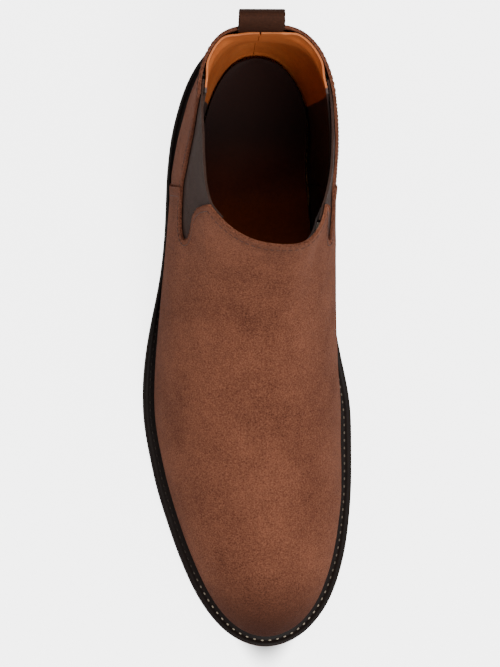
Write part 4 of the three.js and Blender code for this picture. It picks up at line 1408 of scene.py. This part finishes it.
@dataclass
class PullTab:
    """A loop of ribbed webbing sewn in at the back of the topline.

    Its shape is the loop's section, as (y, z) points from one sewn end over the top to the
    other, measured from the hinge before the loop leans back.
    """

    width: float = 20.0
    ply: float = 0.9
    rib_pitch: float = 0.8
    rib_height: float = 0.07
    rib_steps: int = 5
    lean: float = 8.0
    bend: tuple[float, float] = (0.8, 3.0)
    frayed: float = 0.08
    columns: tuple[float, ...] = (-1.0, -0.97, -0.9, -0.6, -0.2, 0.2, 0.6, 0.9, 0.97, 1.0)
    thinned: tuple[float, ...] = (0.55, 0.9, 1.0, 1.0, 1.0, 1.0, 1.0, 1.0, 0.9, 0.55)
    shape: tuple[tuple[float, float], ...] = (
        (-0.5, -2.5), (-0.55, 0.0), (-1.0, 3.5), (-2.6, 10.0), (-3.9, 16.0), (-3.8, 20.5),
        (-2.6, 23.8), (-0.9, 25.35), (0.9, 25.35), (2.6, 23.8), (3.8, 20.5), (3.9, 16.0),
        (2.6, 10.0), (1.0, 3.5), (0.55, 0.0), (0.5, -2.5))

    def midline(self, step: float) -> Array:
        """The loop's section as evenly spaced (y, z) points."""
        line = rounded(np.array(self.shape), 3)
        run = np.concatenate([[0], np.cumsum(np.linalg.norm(np.diff(line, axis=0), axis=1))])
        s = np.linspace(0, run[-1], int(run[-1] / step))
        return np.stack([np.interp(s, run, line[:, j]) for j in (0, 1)], axis=1)

    def strip(self) -> tuple[Array, list[list[int]]]:
        """The webbing, ribbed across its width and thinner at its selvedges.

        Returns:
            Points in millimetres from the hinge, and faces.
        """
        line = self.midline(self.rib_pitch / self.rib_steps)
        run = np.gradient(line, axis=0)
        run /= np.linalg.norm(run, axis=1, keepdims=True)
        out = np.stack([-run[:, 1], run[:, 0]], axis=1)
        s = np.arange(len(line)) / self.rib_steps
        thick = self.ply / 2 - self.rib_height * (1 - np.cos(2 * np.pi * s)) / 2
        a = math.radians(self.lean)
        turn = np.array([[math.cos(a), -math.sin(a)], [math.sin(a), math.cos(a)]])
        columns = list(zip(self.columns, self.thinned))
        order = [(*pair, 1) for pair in columns] + [(*pair, -1) for pair in reversed(columns)]
        rings = []
        for column, thin, face in order:
            flat = line + out * (thick * thin * face)[:, None]
            wobble = self.frayed * np.sin(s * 1.7) * (abs(column) == 1)
            x = np.full(len(line), column * self.width / 2) + wobble * column
            rings.append(np.concatenate([x[:, None], flat @ turn], axis=1))
        return capped(list(np.stack(rings, axis=1)))

    def build(self) -> None:
        """Make the loop, placed at its sewn foot on the record's hinge."""
        joint = next(j for j in frame["record"]["behaviour"]["joints"] if j["name"] == "pull_tab_fold")
        pivot = np.array(joint["pos_m"])
        points, faces = self.strip()
        loop = make_object("pull_tab_webbing", points * MM + pivot, faces, GROSGRAIN, None)
        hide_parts("pull_tab")
        below, above = self.bend
        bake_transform(loop)


# ------------------------------------------------------------------ the studio
@dataclass(frozen=True)
class SoftBox:
    """A square soft light that faces the boot, in metres and watts."""

    name: str
    place: tuple[float, float, float]
    size: float
    power: float

    def build(self) -> None:
        """Hang the light."""
        data = bpy.data.lights.new(self.name, "AREA")
        data.size, data.energy = self.size, self.power
        lamp = bpy.data.objects.new(self.name, data)
        lamp.location = self.place
        lamp.rotation_mode = "QUATERNION"
        lamp.rotation_quaternion = (-Vector(self.place)).to_track_quat("-Z", "Y")
        bpy.context.scene.collection.objects.link(lamp)


BOXES = (SoftBox("key_box", (0.35, -0.8, 1.9), 0.7, 34.0), SoftBox("left_fill", (-1.4, 0.2, 0.8), 1.0, 7.0),
         SoftBox("right_fill", (1.4, 0.1, 0.9), 1.0, 8.0), SoftBox("heel_fill", (0.3, 0.95, 1.8), 0.8, 9.0))


@dataclass
class Studio:
    """Pale floor, soft light and the camera overhead, in metres."""

    floor_reach: float = 6.0
    floor_drop: float = 0.0003
    room_strength: float = 0.25
    height: float = 1.5
    offset: float = -0.044
    view_height: float = 0.3286
    sensor: float = 36.0
    aim: tuple[float, float] = (0.0015, 0.0032)
    glow: float = 4.0
    # The painted shadow round the sole: the middle and radii of its ellipse, its colour, and where the glow
    # and the paper fade into it.
    shade_middle: tuple[float, float, float] = (0.009, -0.008, 0.0)
    shade_radii: tuple[float, float, float] = (0.031, 0.142, 1.0)
    shade_colour: str = "#757575"
    paper_colour: str = "#f1f1f1"
    glow_edge: tuple[float, float] = (0.98, 1.12)
    paper_edge: tuple[float, float] = (0.98, 1.1)

    def build_floor(self) -> None:
        """A plain pale floor that glows to the lens, with a painted shadow under the sole and the toe's
        overhang.

        It lies just under the sole, so that the two faces don't fight.
        """
        mesh = bpy.data.meshes.new("floor")
        r, z = self.floor_reach, -self.floor_drop
        mesh.from_pydata([(-r, -r, z), (r, -r, z), (r, r, z), (-r, r, z)], [], [(0, 1, 2, 3)])
        floor = bpy.data.objects.new("floor", mesh)
        bpy.context.scene.collection.objects.link(floor)
        material = bpy.data.materials.new("lit_paper_floor")
        material.use_nodes = True
        tree = material.node_tree
        shader = tree.nodes["Principled BSDF"]
        shader.inputs["Roughness"].default_value = 0.9
        shader.inputs["Specular IOR Level"].default_value = 0.1
        shader.inputs["Emission Color"].default_value = (1, 1, 1, 1)
        place = add_node(tree, "ShaderNodeTexCoord")
        scaled = add_node(tree, "ShaderNodeMapping", {
            "Vector": place.outputs["Object"], "Location": self.shade_middle,
            "Scale": self.shade_radii}, vector_type="TEXTURE")
        far = add_node(tree, "ShaderNodeVectorMath", {"Vector": scaled.outputs["Vector"]}, operation="LENGTH")
        # Painted shadow: the glow to the lens fades out inside the ellipse round the sole and the toe.
        glow = add_node(tree, "ShaderNodeMapRange", {
            "Value": far.outputs["Value"], "From Min": self.glow_edge[0], "From Max": self.glow_edge[1],
            "To Max": self.glow}, interpolation_type="SMOOTHSTEP")
        # Painted shadow: the floor's colour darkens to shade_colour inside the same ellipse.
        under = add_node(tree, "ShaderNodeMapRange", {
            "Value": far.outputs["Value"], "From Min": self.paper_edge[0], "From Max": self.paper_edge[1]},
            interpolation_type="SMOOTHSTEP")
        paper = add_node(tree, "ShaderNodeMix", {
            "Factor_Float": under.outputs["Result"], "A_Color": linear(self.shade_colour),
            "B_Color": linear(self.paper_colour)}, data_type="RGBA")
        tree.links.new(paper.outputs[2], shader.inputs["Base Color"])
        path = add_node(tree, "ShaderNodeLightPath")
        seen = add_node(tree, "ShaderNodeMath", {
            "Value": glow.outputs["Result"], "Value_001": path.outputs["Is Camera Ray"]},
            operation="MULTIPLY")
        tree.links.new(seen.outputs[0], shader.inputs["Emission Strength"])
        mesh.materials.append(material)

    def build_light(self) -> None:
        """A dim white room and four soft boxes."""
        world = bpy.data.worlds.new("white_room")
        world.use_nodes = True
        background = world.node_tree.nodes["Background"]
        background.inputs["Color"].default_value = (1, 1, 1, 1)
        background.inputs["Strength"].default_value = self.room_strength
        bpy.context.scene.world = world
        for box in BOXES:
            box.build()

    def build_camera(self) -> None:
        """Look almost straight down, from a little to the outer side."""
        data = bpy.data.cameras.new("overhead_camera")
        data.sensor_width = self.sensor
        data.lens = self.sensor * self.height / self.view_height
        data.clip_start, data.clip_end = 0.05, 20
        camera = bpy.data.objects.new("overhead_camera", data)
        target = Vector((*self.aim, 0))
        place = target + Vector((self.offset, 0, self.height))
        back = (place - target).normalized()
        right = Vector((0, 1, 0)).cross(back).normalized()
        up = back.cross(right)
        camera.matrix_world = Matrix.Translation(place) @ Matrix((right, up, back)).transposed().to_4x4()
        bpy.context.scene.collection.objects.link(camera)
        bpy.context.scene.camera = camera

    def build(self) -> None:
        """Set the stage."""
        self.build_floor()
        self.build_light()
        self.build_camera()


def find_shift(last: Last) -> tuple[float, float]:
    """Where the form's zero stands in the frame, from the heel's middle nail.

    Args:
        last: The form, with its sizes set.

    Returns:
        The shift along X and along Y, in millimetres.
    """
    low, high = (np.array(corner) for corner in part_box("heel_nail_3"))
    middle = (low + high)[:2] / 2 / MM
    seat = (last.breast + last.length) / 2
    nail_place = 0.31
    behind = nail_place * (last.length - last.breast)
    return float(middle[0] - last.centre), float(middle[1] - seat - behind)


def main() -> None:
    """Build the boot and its studio, piece by piece."""
    logging.basicConfig(level=logging.INFO, format="%(name)s: %(message)s")
    last = Last()
    last.shift = find_shift(last)
    LOG.info("form stands at %.2f, %.2f mm", *last.shift)
    Upper(last).build()
    Bottom(last).build()
    PullTab().build()
    Studio().build()


if __name__ == "__main__":
    main()
